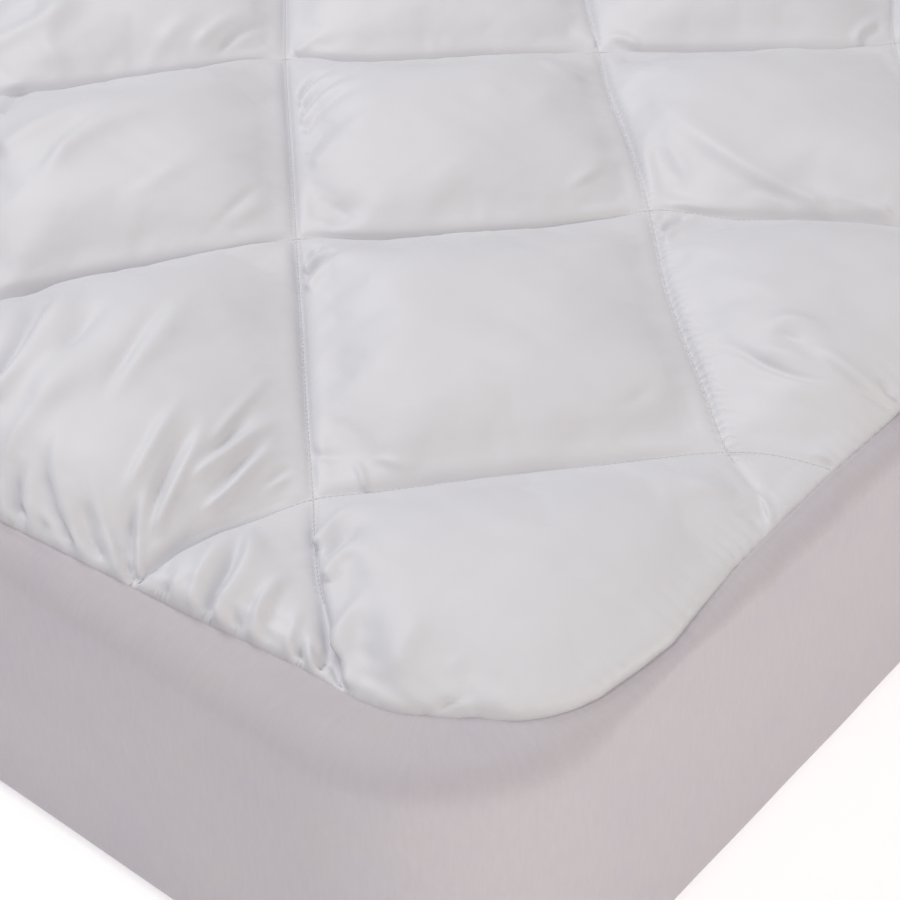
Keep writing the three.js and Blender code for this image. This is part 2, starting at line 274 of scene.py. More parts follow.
CAMERA_CORNER_SEAM = (
    SeamRow(-430, 19, 2),
    SeamRow(-315, 20.5, 2),
    SeamRow(-227, 28, 2),
    SeamRow(-190, 31, 1),
    SeamRow(-150, 36, 1),
    SeamRow(-121, 39, 1),
    SeamRow(-90, 40, 1),
    SeamRow(-60, 41.5, 1),
    SeamRow(-24, 44, 2),
    SeamRow(17, 41, 3),
    SeamRow(43, 31, 4),
    SeamRow(66, 23, 4),
    SeamRow(92, 14.5, 5),
    SeamRow(125, 10, 5),
    SeamRow(145, 8.5, 5),
    SeamRow(173, 12, 4),
    SeamRow(210, 16, 3),
    SeamRow(243, 17, 2),
    SeamRow(300, 18, 1),
    SeamRow(360, 16.5, 1),
    SeamRow(900, 17, 2),
)
OTHER_CORNER_SEAM = (
    SeamRow(-430, 19, 2),
    SeamRow(-227, 25, 2),
    SeamRow(-90, 33, 3),
    SeamRow(0, 36, 5),
    SeamRow(90, 22, 7),
    SeamRow(200, 17, 3),
    SeamRow(900, 17, 2),
)


@dataclass
class Rim:
    """The fitted skirt's outer face in plan: a rectangle with round corners.

    Places on it are given by the distance from the nearest corner's middle, negative along the
    short side, with the signs of that corner.
    """

    half_width: float
    half_length: float
    corner: float = 105.5 * MM

    @property
    def arc_half(self) -> float:
        """Half the length of a corner's arc."""
        return self.corner * math.pi / 4

    def locate(self, x: Array, y: Array) -> tuple[Array, Array, Array]:
        """Find where points lie beside the rim.

        Args:
            x: Places across.
            y: Places along.

        Returns:
            The place along the rim, the depth in from it, and whether the nearest corner is
            the one that faces the camera.
        """
        qx = np.abs(x) - (self.half_width - self.corner)
        qy = np.abs(y) - (self.half_length - self.corner)
        in_corner = (qx > 0) & (qy > 0)
        angle = np.arctan2(np.maximum(qy, 0.0), np.maximum(qx, TINY))
        depth_x = self.half_width - np.abs(x)
        depth_y = self.half_length - np.abs(y)
        along = np.where(depth_y < depth_x, -self.arc_half + qx, self.arc_half - qy)
        along = np.where(in_corner, (math.pi / 4 - angle) * self.corner, along)
        depth = np.where(in_corner, self.corner - np.hypot(qx, qy), np.minimum(depth_x, depth_y))
        return along, depth, (x > 0) & (y < 0)

    def seam(self, along: Array, faces_camera: Array) -> tuple[Array, Array]:
        """Look up the seam beside the rim.

        Args:
            along: Places along the rim.
            faces_camera: Whether each is beside the camera's corner.

        Returns:
            The seam's inset and the panel's overhang there.
        """
        found = []
        for column in ("inset", "overhang"):
            values = [
                np.interp(along / MM, [r.along for r in rows], [getattr(r, column) for r in rows])
                for rows in (CAMERA_CORNER_SEAM, OTHER_CORNER_SEAM)
            ]
            found.append(np.where(faces_camera, *values) * MM)
        return found[0], found[1]

    def beside_seam(self, x: Array, y: Array) -> tuple[Array, Array]:
        """Find where points lie beside the seam.

        Args:
            x: Places across.
            y: Places along.

        Returns:
            The distance in from the seam, and the panel's overhang there.
        """
        along, depth, faces_camera = self.locate(x, y)
        inset, overhang = self.seam(along, faces_camera)
        return depth - inset, overhang

    def stations(self, spacing: float) -> tuple[Array, Array, Array, Array]:
        """Walk round the rim anticlockwise from the middle of the side at +X.

        Args:
            spacing: Wished distance between stations.

        Returns:
            The stations' places, outward normals, distances walked and the seam's insets.
        """
        straight_x = self.half_width - self.corner
        straight_y = self.half_length - self.corner
        arc = 2 * self.arc_half
        lengths = [straight_y, arc, 2 * straight_x, arc, 2 * straight_y, arc, 2 * straight_x, arc]
        lengths.append(straight_y)
        total = sum(lengths)
        walked = np.arange(0, total, total / round(total / spacing))
        starts = np.concatenate([[0.0], np.cumsum(lengths)])
        turn = np.zeros_like(walked)
        for k in (1, 3, 5, 7):
            turn += np.clip((walked - starts[k]) / arc, 0, 1) * math.pi / 2
        normals = np.stack([np.cos(turn), np.sin(turn)], axis=1)
        quarter = np.floor_divide(turn + TINY, math.pi / 2).astype(int) % 4
        centre_x = np.array([1, -1, -1, 1])[quarter] * straight_x
        centre_y = np.array([1, 1, -1, -1])[quarter] * straight_y
        places = np.stack([centre_x, centre_y], axis=1) + normals * self.corner
        for k, (axis, sign, start) in {
            0: (1, 1, 0.0), 2: (0, -1, straight_x), 4: (1, -1, straight_y),
            6: (0, 1, -straight_x), 8: (1, 1, -straight_y),
        }.items():
            on_side = (walked >= starts[k]) & (walked <= starts[k + 1])
            places[on_side, axis] = start + sign * (walked[on_side] - starts[k])
        along, _, faces_camera = self.locate(places[:, 0], places[:, 1])
        return places, normals, walked, self.seam(along, faces_camera)[0]


def through(x: Array, at: Array, value: Array) -> Array:
    """A smooth curve through rows, level with the first and last row beyond them.

    Args:
        x: Places along the curve.
        at: The rows' places, rising.
        value: The rows' values.

    Returns:
        The curve's value at each place.
    """
    slope = np.gradient(value, at)
    k = np.clip(np.searchsorted(at, x) - 1, 0, len(at) - 2)
    width = at[k + 1] - at[k]
    t = np.clip((x - at[k]) / width, 0, 1)
    start, end = value[k], value[k + 1]
    bend_start, bend_end = slope[k] * width, slope[k + 1] * width
    return (
        start * (1 + 2 * t) * (1 - t) ** 2 + bend_start * t * (1 - t) ** 2
        + end * t * t * (3 - 2 * t) + bend_end * t * t * (t - 1)
    )


@dataclass(frozen=True)
class StitchLine:
    """How one stitch line wanders sideways.

    Each row of shifts is a count of squares along the line and a shift there in millimetres:
    towards the camera's corner on a line that runs across the picture, to the right on one that
    runs down it.
    """

    number: int
    shifts: tuple

    def shift(self, count: Array) -> Array:
        """The line's shift at counts of squares along it."""
        rows = np.array(self.shifts, dtype=float)
        return through(count, rows[:, 0], rows[:, 1]) * MM


ACROSS_LINES = (
    StitchLine(1, (
        (-1.6, 62), (-0.7, 68), (-0.45, 66), (-0.34, 48), (-0.25, 37), (-0.16, 27), (0, 12),
        (0.14, 10), (0.36, 6), (0.5, 4), (0.65, 2), (0.82, -1), (1, -2), (1.12, 3), (1.2, 10),
        (1.28, 17), (1.6, 24),
    )),
    StitchLine(0, (
        (-3, 4), (-1.5, 31), (-0.83, 32), (-0.57, 16), (-0.39, 8), (-0.21, -2), (0, -16),
        (0.2, -7), (0.46, -6), (0.72, -8), (0.88, -15), (1, -22), (1.24, -6), (1.43, 0),
        (1.58, 7), (1.7, 14), (2.1, 12), (3, 0),
    )),
    StitchLine(-1, (
        (-3, 2), (-0.88, 14), (-0.69, 12), (-0.49, 5), (-0.29, -3), (0, -16), (0.21, -2),
        (0.37, 2), (0.69, 3), (0.84, 2), (1, 0), (1.16, 8), (1.48, 16), (1.63, 16),
        (1.76, 18), (1.95, 13), (3, 2),
    )),
)
DOWN_LINES = (
    StitchLine(0, (
        (-3, 0), (-1.46, 5), (-1.09, 2), (-0.41, 0), (0, -1), (0.41, -2), (0.72, -3), (1, -3),
        (1.19, -4), (1.34, -3), (1.47, 1), (1.58, 4), (1.72, 5), (2.2, 6),
    )),
    StitchLine(1, (
        (-3, 2), (-1, -1), (-0.72, -2), (-0.46, 1), (0, 2), (0.12, 1), (0.38, -1), (0.58, 1),
        (0.76, 4), (1, 7), (1.18, 17), (1.29, 17), (2, 18),
    )),
    StitchLine(2, ((-3, 2), (-1.22, -3), (-1.1, -10), (-0.94, -16), (-0.5, -6), (0, 0), (1, 3))),
)


@dataclass(frozen=True)
class Quilting:
    """Two families of stitch lines at 45 degrees to the sides, as sewn and as they now lie.

    A place is given by two counts of squares: `right` across the picture and `near` towards
    the camera's corner. Whole numbers lie on stitch lines.
    """

    side: float = 215 * MM
    origin: tuple[float, float] = (75 * MM, -655 * MM)
    chance_shift: float = 4 * MM
    chance_wave: float = 1.6
    chance_step: float = 1.9

    def family_shift(self, known: tuple, across: Array, along: Array, seed: float) -> Array:
        """The sideways shift of one family of lines, blended between the lines beside a place.

        Args:
            known: The family's lines that show in the picture.
            across: Counts of squares across the family.
            along: Counts of squares along it.
            seed: Sets how the other lines wander.

        Returns:
            The shift, in metres.
        """
        by_number = {line.number: line for line in known}
        total = np.zeros_like(across)
        for number in range(int(np.floor(across.min())), int(np.ceil(across.max())) + 1):
            if number in by_number:
                shift = by_number[number].shift(along)
            else:
                own_seed = seed + self.chance_step * number
                shift = self.chance_shift * wander(self.chance_wave * along, own_seed)
            total += shift * np.clip(1 - np.abs(across - number), 0, 1)
        return total

    def place(self, right: Array, near: Array) -> tuple[Array, Array]:
        """Turn counts of squares into a place in plan.

        Args:
            right: Counts of squares across the picture.
            near: Counts of squares towards the camera.

        Returns:
            The places across and along.
        """
        half_diagonal = self.side / math.sqrt(2)
        to_near = self.family_shift(ACROSS_LINES, near, right, 0.0) / math.sqrt(2)
        to_right = self.family_shift(DOWN_LINES, right, near, 5.0) / math.sqrt(2)
        return (
            self.origin[0] + (right + near) * half_diagonal + to_right + to_near,
            self.origin[1] + (right - near) * half_diagonal + to_right - to_near,
        )


def curve_through(points: tuple | Array, steps: int) -> Array:
    """The smooth curve through points in a plane, with a row for each step.

    Args:
        points: The points.
        steps: How many steps there are from one point to the next.

    Returns:
        The curve's places, the last point among them.
    """
    rows = np.array(points, dtype=float)
    ends = np.vstack([2 * rows[0] - rows[1], rows, 2 * rows[-1] - rows[-2]])
    t = np.linspace(0, 1, steps, endpoint=False)[:, None]
    pieces = [cubic(*four, t) for four in zip(ends, ends[1:], ends[2:], ends[3:])]
    return np.vstack(pieces + [rows[-1:]])


def beside_line(
    line: Array, reach: float, across: Array, down: Array
) -> tuple[Array, Array, Array, Array]:
    """Find the places beside a line in a plane.

    Args:
        line: The line's points, a row for each.
        reach: How far from it places count.
        across: The places' first coordinate.
        down: Their second.

    Returns:
        The indices of the places in reach, their distance from the line, the share of its
        length at the nearest point, and which side they are on: negative on the left where the
        second coordinate points down.
    """
    low, high = line.min(0) - reach, line.max(0) + reach
    near = np.flatnonzero(
        (across > low[0]) & (across < high[0]) & (down > low[1]) & (down < high[1])
    )
    across, down = across[near], down[near]
    steps = np.hypot(*np.diff(line, axis=0).T)
    walked = np.concatenate([[0.0], np.cumsum(steps)])
    best = np.full(across.size, np.inf)
    share = np.zeros(across.size)
    side = np.zeros(across.size)
    for k, step in enumerate(steps):
        (ax, ay), (bx, by) = line[k], line[k + 1]
        to_x, to_y = across - ax, down - ay
        t = np.clip((to_x * (bx - ax) + to_y * (by - ay)) / step**2, 0, 1)
        away = np.hypot(to_x - t * (bx - ax), to_y - t * (by - ay))
        closer = away < best
        best = np.where(closer, away, best)
        share = np.where(closer, (walked[k] + t * step) / walked[-1], share)
        side = np.where(closer, (bx - ax) * to_y - (by - ay) * to_x, side)
    return near, best, share, side


@dataclass(frozen=True)
class Crease:
    """A soft ridge on the part that the photograph doesn't show, or a valley if negative.

    Points, width and height are in millimetres, and the points are places in plan. rise and
    fade are the shares of its length over which it rises and fades.
    """

    path: Array
    width: float
    height: float
    rise: float = 0.3
    fade: float = 0.22

    def height_at(self, x: Array, y: Array) -> tuple[Array, Array]:
        """The crease's height where it reaches.

        Args:
            x: Places across, in metres.
            y: Places along, in metres.

        Returns:
            The indices of the places that it reaches, and its height there.
        """
        width = self.width * MM
        line = curve_through(self.path, steps=7) * MM
        near, away, share, _ = beside_line(line, FLANK_REACH * width, x, y)
        taper = smooth(share / self.rise) * smooth((1 - share) / self.fade)
        return near, self.height * MM * np.exp(-((away / width) ** 2)) * taper


@dataclass(frozen=True)
class Fold:
    """A fold that the photograph shows, placed on its picture.

    The path is in the picture's pixels, from the fold's foot to where it fades. height is in
    millimetres, negative for a valley. left and right are how wide its flanks are, in pixels,
    on the left and the right of the way that the path goes. fade and foot are the shares of
    its length over which it fades at its end and rises at its foot. Its flanks widen from the
    foot by a share of the root of the way gone.
    """

    path: tuple
    height: float
    left: float = 6.0
    right: float = 6.0
    fade: float = 0.5
    foot: float = 0.03
    foot_width: float = 0.5
    widening: float = 0.8
    flank_power: float = 1.8

    def height_at(self, across: Array, down: Array) -> tuple[Array, Array]:
        """The fold's height where it reaches.

        Args:
            across: Pixels from the picture's left.
            down: Pixels from its top.

        Returns:
            The indices of the places that it reaches, and its height there in metres.
        """
        line = curve_through(self.path, steps=6)
        reach = FLANK_REACH * max(self.left, self.right)
        near, away, share, side = beside_line(line, reach, across, down)
        width = np.where(side < 0, self.left, self.right)
        width = width * (self.foot_width + self.widening * np.sqrt(share))
        taper = smooth(share / self.foot) * smooth((1 - share) / self.fade)
        return near, self.height * MM * np.exp(-((away / width) ** self.flank_power)) * taper


LEFT_CELL_FOLDS = (
    Fold(((-4, 378), (18, 342), (34, 312), (60, 290)), -6.4, 11, 9, 0.35, 0.1),
    Fold(((-6, 402), (28, 355), (51, 322), (86, 284)), 6.6, 11, 11, 0.35, 0.1),
    Fold(((18, 432), (54, 384), (98, 348), (138, 314), (176, 286)), 6.0, 19, 15, 0.4, 0.3),
    Fold(((52, 366), (78, 334), (112, 300)), -3.6, 9, 9, 0.5, 0.4),
    Fold(((104, 410), (142, 352), (170, 319), (204, 286)), 4.4, 11, 13, 0.4, 0.5),
    Fold(((96, 398), (128, 354), (154, 319), (180, 290)), -3.0, 8, 8, 0.5, 0.45),
    Fold(((3, 516), (5, 470), (14, 438), (36, 398)), 3.4, 5, 8),
    Fold(((23, 541), (15, 510), (12, 486), (18, 452)), -7.0, 7, 9),
    Fold(((31, 534), (26, 505), (27, 482), (38, 456)), 2.8, 4, 8),
    Fold(((50, 553), (39, 528), (35, 494)), -6.2, 7, 8, 0.8),
    Fold(((77, 564), (61, 528), (50, 500), (44, 472), (46, 440)), -6.6, 8, 8, 0.7),
    Fold(((83, 564), (69, 525), (57, 488), (53, 458), (60, 428), (76, 396)), 3.4, 5, 13, 0.6),
    Fold(((106, 580), (91, 542), (81, 510), (76, 478)), -6.2, 9, 9, 0.7),
    Fold(((127, 584), (113, 550), (102, 520), (95, 492), (90, 462)), 3.8, 6, 6, 0.6),
    Fold(((131, 588), (123, 548), (116, 512)), -4.6, 6, 6, 0.7),
    Fold(((134, 584), (131, 540), (131, 506), (139, 482)), -4.2, 6, 4, 0.5),
    Fold(((134, 576), (138, 528), (142, 504), (146, 480)), 3.2, 3, 8, 0.5),
    Fold(((122, 498), (148, 452), (167, 420), (194, 384)), 3.4, 6, 9, 0.5, 0.25),
    Fold(((148, 530), (158, 492), (174, 456), (200, 418)), -5.2, 6, 6, 0.55, 0.4),
    Fold(((151, 540), (167, 501), (183, 468), (199, 436), (210, 404)), 3.6, 5.5, 8, 0.5, 0.15),
    Fold(((194, 464), (217, 446), (240, 424), (260, 402)), -4.0, 6, 7, 0.5, 0.5),
    Fold(((188, 482), (214, 461), (250, 435), (292, 412)), 3.2, 6, 7, 0.5, 0.15),
    Fold(((204, 500), (226, 477), (250, 453), (276, 430)), -4.0, 6, 7, 0.5, 0.5),
    Fold(((199, 516), (227, 491), (251, 464), (284, 432)), 3.8, 6, 7, 0.5, 0.15),
    Fold(((206, 450), (230, 419), (252, 394), (274, 368)), 1.6, 5, 5, 0.5, 0.3),
    Fold(((258, 496), (279, 483), (300, 470)), 1.8, 4, 5, 0.5, 0.4),
    Fold(((262, 486), (280, 474), (298, 464)), -1.4, 4, 4, 0.5, 0.4),
)
TRIANGLE_FOLDS = (
    Fold(((170, 612), (164, 594), (167, 572)), -4.0, 5, 5, 0.6),
    Fold(((180, 618), (175, 594), (181, 566), (196, 546)), 2.4, 5, 7, 0.6),
    Fold(((190, 612), (198, 577), (214, 551), (241, 526)), 3.2, 8, 7, 0.4, 0.1),
    Fold(((208, 632), (208, 604), (218, 580), (232, 558), (247, 532)), -6.0, 7, 7, 0.4),
    Fold(((218, 634), (219, 605), (232, 586), (244, 562), (255, 524)), 4.2, 6, 14, 0.2),
    Fold(((243, 648), (237, 628), (228, 604)), -5.6, 6, 5, 0.6),
    Fold(((248, 650), (257, 612), (269, 589), (292, 566)), 3.6, 4, 10, 0.5),
    Fold(((262, 652), (268, 618), (279, 597), (294, 580)), -2.4, 6, 7, 0.6),
    Fold(((285, 656), (295, 622), (308, 598)), 2.6, 6, 7, 0.6),
    Fold(((301, 672), (299, 652), (304, 630)), -5.6, 5, 4, 0.6),
    Fold(((310, 676), (309, 652), (308, 630)), 3.0, 3.5, 4, 0.6),
    Fold(((318, 668), (326, 656), (336, 650)), -5.0, 5, 5, 0.6),
    Fold(((344, 698), (335, 660), (326, 622), (319, 588)), -3.4, 10, 5, 0.5),
)
CORNER_FOLDS = (
    Fold(((350, 702), (343, 655), (332, 612), (324, 560), (316, 512)), 3.0, 4, 12, 0.3, 0.1),
    Fold(((318, 548), (334, 525), (358, 508), (390, 498)), 4.0, 7, 8, 0.6),
    Fold(((325, 562), (346, 538), (372, 519)), -3.0, 6, 6, 0.6, 0.2),
    Fold(((328, 582), (347, 553), (376, 528)), 3.8, 7, 8, 0.6),
    Fold(((338, 662), (345, 632), (355, 609), (372, 584)), 5.0, 6, 10, 0.6, 0.1),
    Fold(((394, 690), (404, 652), (419, 621), (434, 590)), 3.4, 22, 13, 0.6, 0.3),
    Fold(((444, 676), (458, 662), (470, 652)), 1.4, 6, 7, 0.5, 0.5),
    Fold(((430, 716), (446, 705), (478, 690)), -2.6, 4, 4, 0.7, 0.1),
    Fold(((434, 720), (460, 714), (498, 716)), -1.8, 4, 4, 0.6),
    Fold(((678, 478), (714, 489), (752, 502)), 2.2, 7, 7, 0.5, 0.4),
    Fold(((688, 494), (724, 500), (752, 513)), -1.8, 7, 5, 0.5, 0.4),
    Fold(((774, 540), (770, 516), (760, 498), (740, 486)), 2.4, 4, 4, 0.5),
    Fold(((762, 526), (750, 515), (732, 513)), -1.8, 3, 4, 0.5, 0.2),
    Fold(((732, 590), (738, 570), (750, 556)), 2.2, 4, 5, 0.5),
)
RIGHT_CELL_FOLDS = (
    Fold(((756, 330), (786, 320), (814, 327), (840, 343)), 3.6, 7, 9, 0.5, 0.45),
    Fold(((768, 333), (786, 335), (806, 345)), -2.0, 3, 3, 0.4, 0.4),
    Fold(((896, 407), (870, 389), (844, 370), (820, 352), (798, 341)), 4.2, 5, 9, 0.4, 0.1),
    Fold(((890, 408), (862, 392), (838, 375), (816, 359)), -2.2, 4, 4, 0.5, 0.1),
    Fold(((840, 382), (800, 376), (768, 365), (742, 352), (708, 339)), -2.8, 4, 4, 0.5, 0.3),
    Fold(((828, 368), (794, 357), (766, 348), (744, 344)), 2.4, 7, 8, 0.5, 0.4),
    Fold(((848, 426), (820, 412), (790, 400), (752, 389)), -1.8, 9, 9, 0.5, 0.5),
    Fold(((891, 402), (887, 391), (882, 378)), -4.0, 5, 5, 0.5, 0.2),
    Fold(((844, 468), (826, 457), (806, 449)), 2.2, 4, 4, 0.5, 0.2),
    Fold(((842, 474), (828, 464), (812, 457)), -2.2, 4, 4, 0.5, 0.2),
    Fold(((664, 240), (678, 229), (702, 217)), 2.2, 3.5, 3.5, 0.4),
    Fold(((662, 229), (674, 221), (694, 214)), -3.2, 4, 4, 0.4),
    Fold(((656, 222), (662, 215), (672, 212)), -2.0, 3, 3, 0.5),
)
UPPER_RIGHT_FOLDS = (
    Fold(((832, 210), (796, 196), (758, 176), (716, 149), (676, 118), (644, 96)), 4.6, 9, 13, 0.5, 0.1),
    Fold(((893, 214), (862, 206), (838, 198), (810, 188)), 3.0, 7, 8, 0.5, 0.1),
    Fold(((788, 209), (766, 201), (744, 192)), 2.0, 6, 4, 0.5, 0.3),
    Fold(((652, 190), (646, 150), (652, 110)), 1.8, 8, 8, 0.5, 0.5),
    Fold(((694, 192), (678, 160), (660, 132)), 1.8, 9, 9, 0.5, 0.5),
    Fold(((614, 64), (640, 59), (668, 56)), -1.2, 3, 3, 0.5, 0.3),
    Fold(((664, 70), (682, 63), (712, 57)), -1.4, 4, 4, 0.6, 0.3),
    Fold(((644, 48), (622, 38), (601, 41)), 1.8, 5, 4, 0.5, 0.2),
    Fold(((634, 50), (616, 45), (603, 47)), -1.2, 3, 3, 0.5, 0.2),
    Fold(((596, 46), (584, 36), (566, 33)), 2.2, 4, 5, 0.5),
    Fold(((853, 46), (862, 31), (884, 19)), 1.9, 5, 4, 0.4, 0.1),
    Fold(((862, 46), (870, 34), (886, 25)), -1.5, 4, 4, 0.4, 0.1),
)
MIDDLE_FOLDS = (
    Fold(((299, 98), (308, 84), (322, 73), (346, 64)), -3.2, 3.5, 3.5, 0.6),
    Fold(((300, 106), (311, 89), (328, 76), (354, 66)), 2.2, 3.5, 3.5, 0.6),
    Fold(((301, 116), (314, 96), (334, 80), (366, 67)), -3.2, 3.5, 3.5, 0.6),
    Fold(((302, 124), (317, 102), (338, 86), (370, 72)), 2.2, 4, 4, 0.6),
    Fold(((303, 133), (320, 109), (341, 93), (374, 78)), -2.6, 4, 4, 0.6),
    Fold(((306, 155), (329, 130), (351, 113), (380, 96)), -2.0, 5, 5, 0.6),
    Fold(((308, 170), (332, 146), (358, 130)), 1.6, 6, 6, 0.6, 0.2),
    Fold(((562, 192), (586, 177), (610, 163)), 2.4, 8, 3.5, 0.5, 0.5),
    Fold(((536, 60), (562, 71), (592, 82)), 2.0, 4, 4, 0.5, 0.3),
    Fold(((470, 96), (492, 91), (514, 94)), 1.4, 7, 5, 0.5, 0.5),
    Fold(((520, 102), (544, 98), (568, 100)), 1.6, 7, 5, 0.5, 0.5),
    Fold(((326, 236), (346, 210), (384, 196)), -3.0, 13, 12, 0.6, 0.4),
    Fold(((304, 279), (317, 263), (334, 251), (356, 243)), -3.6, 3.5, 3.5, 0.6),
    Fold(((303, 264), (314, 252), (332, 244)), -3.0, 3.5, 3, 0.6),
    Fold(((305, 271), (315, 257), (338, 246)), 2.2, 3.5, 3.5, 0.6),
    Fold(((307, 290), (327, 266), (352, 251), (380, 243)), 2.8, 4, 6, 0.6),
    Fold(((366, 490), (360, 471), (350, 458)), 2.4, 4, 4, 0.5),
    Fold(((368, 458), (394, 463), (422, 471)), 1.6, 5, 5, 0.5, 0.5),
    Fold(((306, 454), (330, 455), (356, 458)), -2.0, 6, 6, 0.6),
    Fold(((618, 408), (642, 394), (664, 383)), -1.4, 7, 7, 0.5, 0.5),
)
UPPER_LEFT_FOLDS = (
    Fold(((0, 112), (13, 99), (36, 90)), -4.0, 5, 4, 0.6),
    Fold(((-6, 156), (40, 126), (90, 108), (150, 96)), 4.2, 12, 10, 0.5, 0.1),
    Fold(((20, 178), (60, 140), (94, 114), (122, 96)), -2.2, 9, 9, 0.5, 0.3),
    Fold(((36, 176), (74, 139), (112, 118), (156, 106), (204, 103)), 4.8, 15, 12, 0.4, 0.2),
    Fold(((126, 198), (164, 174), (212, 148)), 2.2, 9, 10, 0.5, 0.5),
    Fold(((212, 226), (234, 206), (254, 190), (272, 180)), -1.5, 5, 5, 0.5, 0.45),
    Fold(((226, 230), (250, 210), (270, 197)), 0.9, 6, 7, 0.5, 0.5),
    Fold(((216, 58), (229, 43), (246, 31), (274, 24)), -1.8, 3.5, 3.5, 0.5, 0.25),
    Fold(((190, 54), (208, 33), (232, 18), (264, 9)), 2.2, 6, 7, 0.5, 0.3),
    Fold(((150, 58), (174, 30), (206, 10)), 2.0, 8, 8, 0.5, 0.5),
    Fold(((64, 84), (56, 60), (46, 42), (58, 16), (92, -4)), 3.0, 16, 13, 0.3, 0.3),
    Fold(((-20, 52), (20, 32), (52, 16), (78, -6)), 3.4, 10, 8, 0.3, 0.1),
    Fold(((-10, 30), (24, 14), (50, 0)), -3.0, 7, 7, 0.3, 0.1),
    Fold(((296, 55), (314, 42), (338, 29)), 2.6, 6, 6, 0.5),
)
ACROSS_LINE_LIPS = (
    Fold(((140, 578), (190, 540), (228, 521), (270, 505), (304, 493)), -2.0, 12, 3, 0.2, 0.1),
    Fold(((-10, 290), (60, 276), (140, 263), (230, 247), (288, 232)), 1.7, 20, 6, 0.15, 0.1),
    Fold(((304, 232), (400, 232), (500, 226), (580, 216), (644, 203)), 1.7, 20, 6, 0.15, 0.15),
    Fold(((656, 204), (700, 208), (770, 209), (840, 211), (910, 213)), 1.8, 16, 5, 0.15, 0.15),
    Fold(((-10, 89), (60, 82), (140, 73), (220, 62), (280, 52)), 1.7, 20, 6, 0.15, 0.1),
    Fold(((294, 56), (400, 56), (500, 51), (590, 48)), 1.7, 18, 6, 0.15, 0.1),
    Fold(((606, 46), (700, 47), (790, 44), (890, 41)), 1.7, 18, 6, 0.15, 0.15),
)
PICTURE_FOLDS = (
    LEFT_CELL_FOLDS + TRIANGLE_FOLDS + CORNER_FOLDS + RIGHT_CELL_FOLDS + UPPER_RIGHT_FOLDS
    + MIDDLE_FOLDS + UPPER_LEFT_FOLDS + ACROSS_LINE_LIPS
)


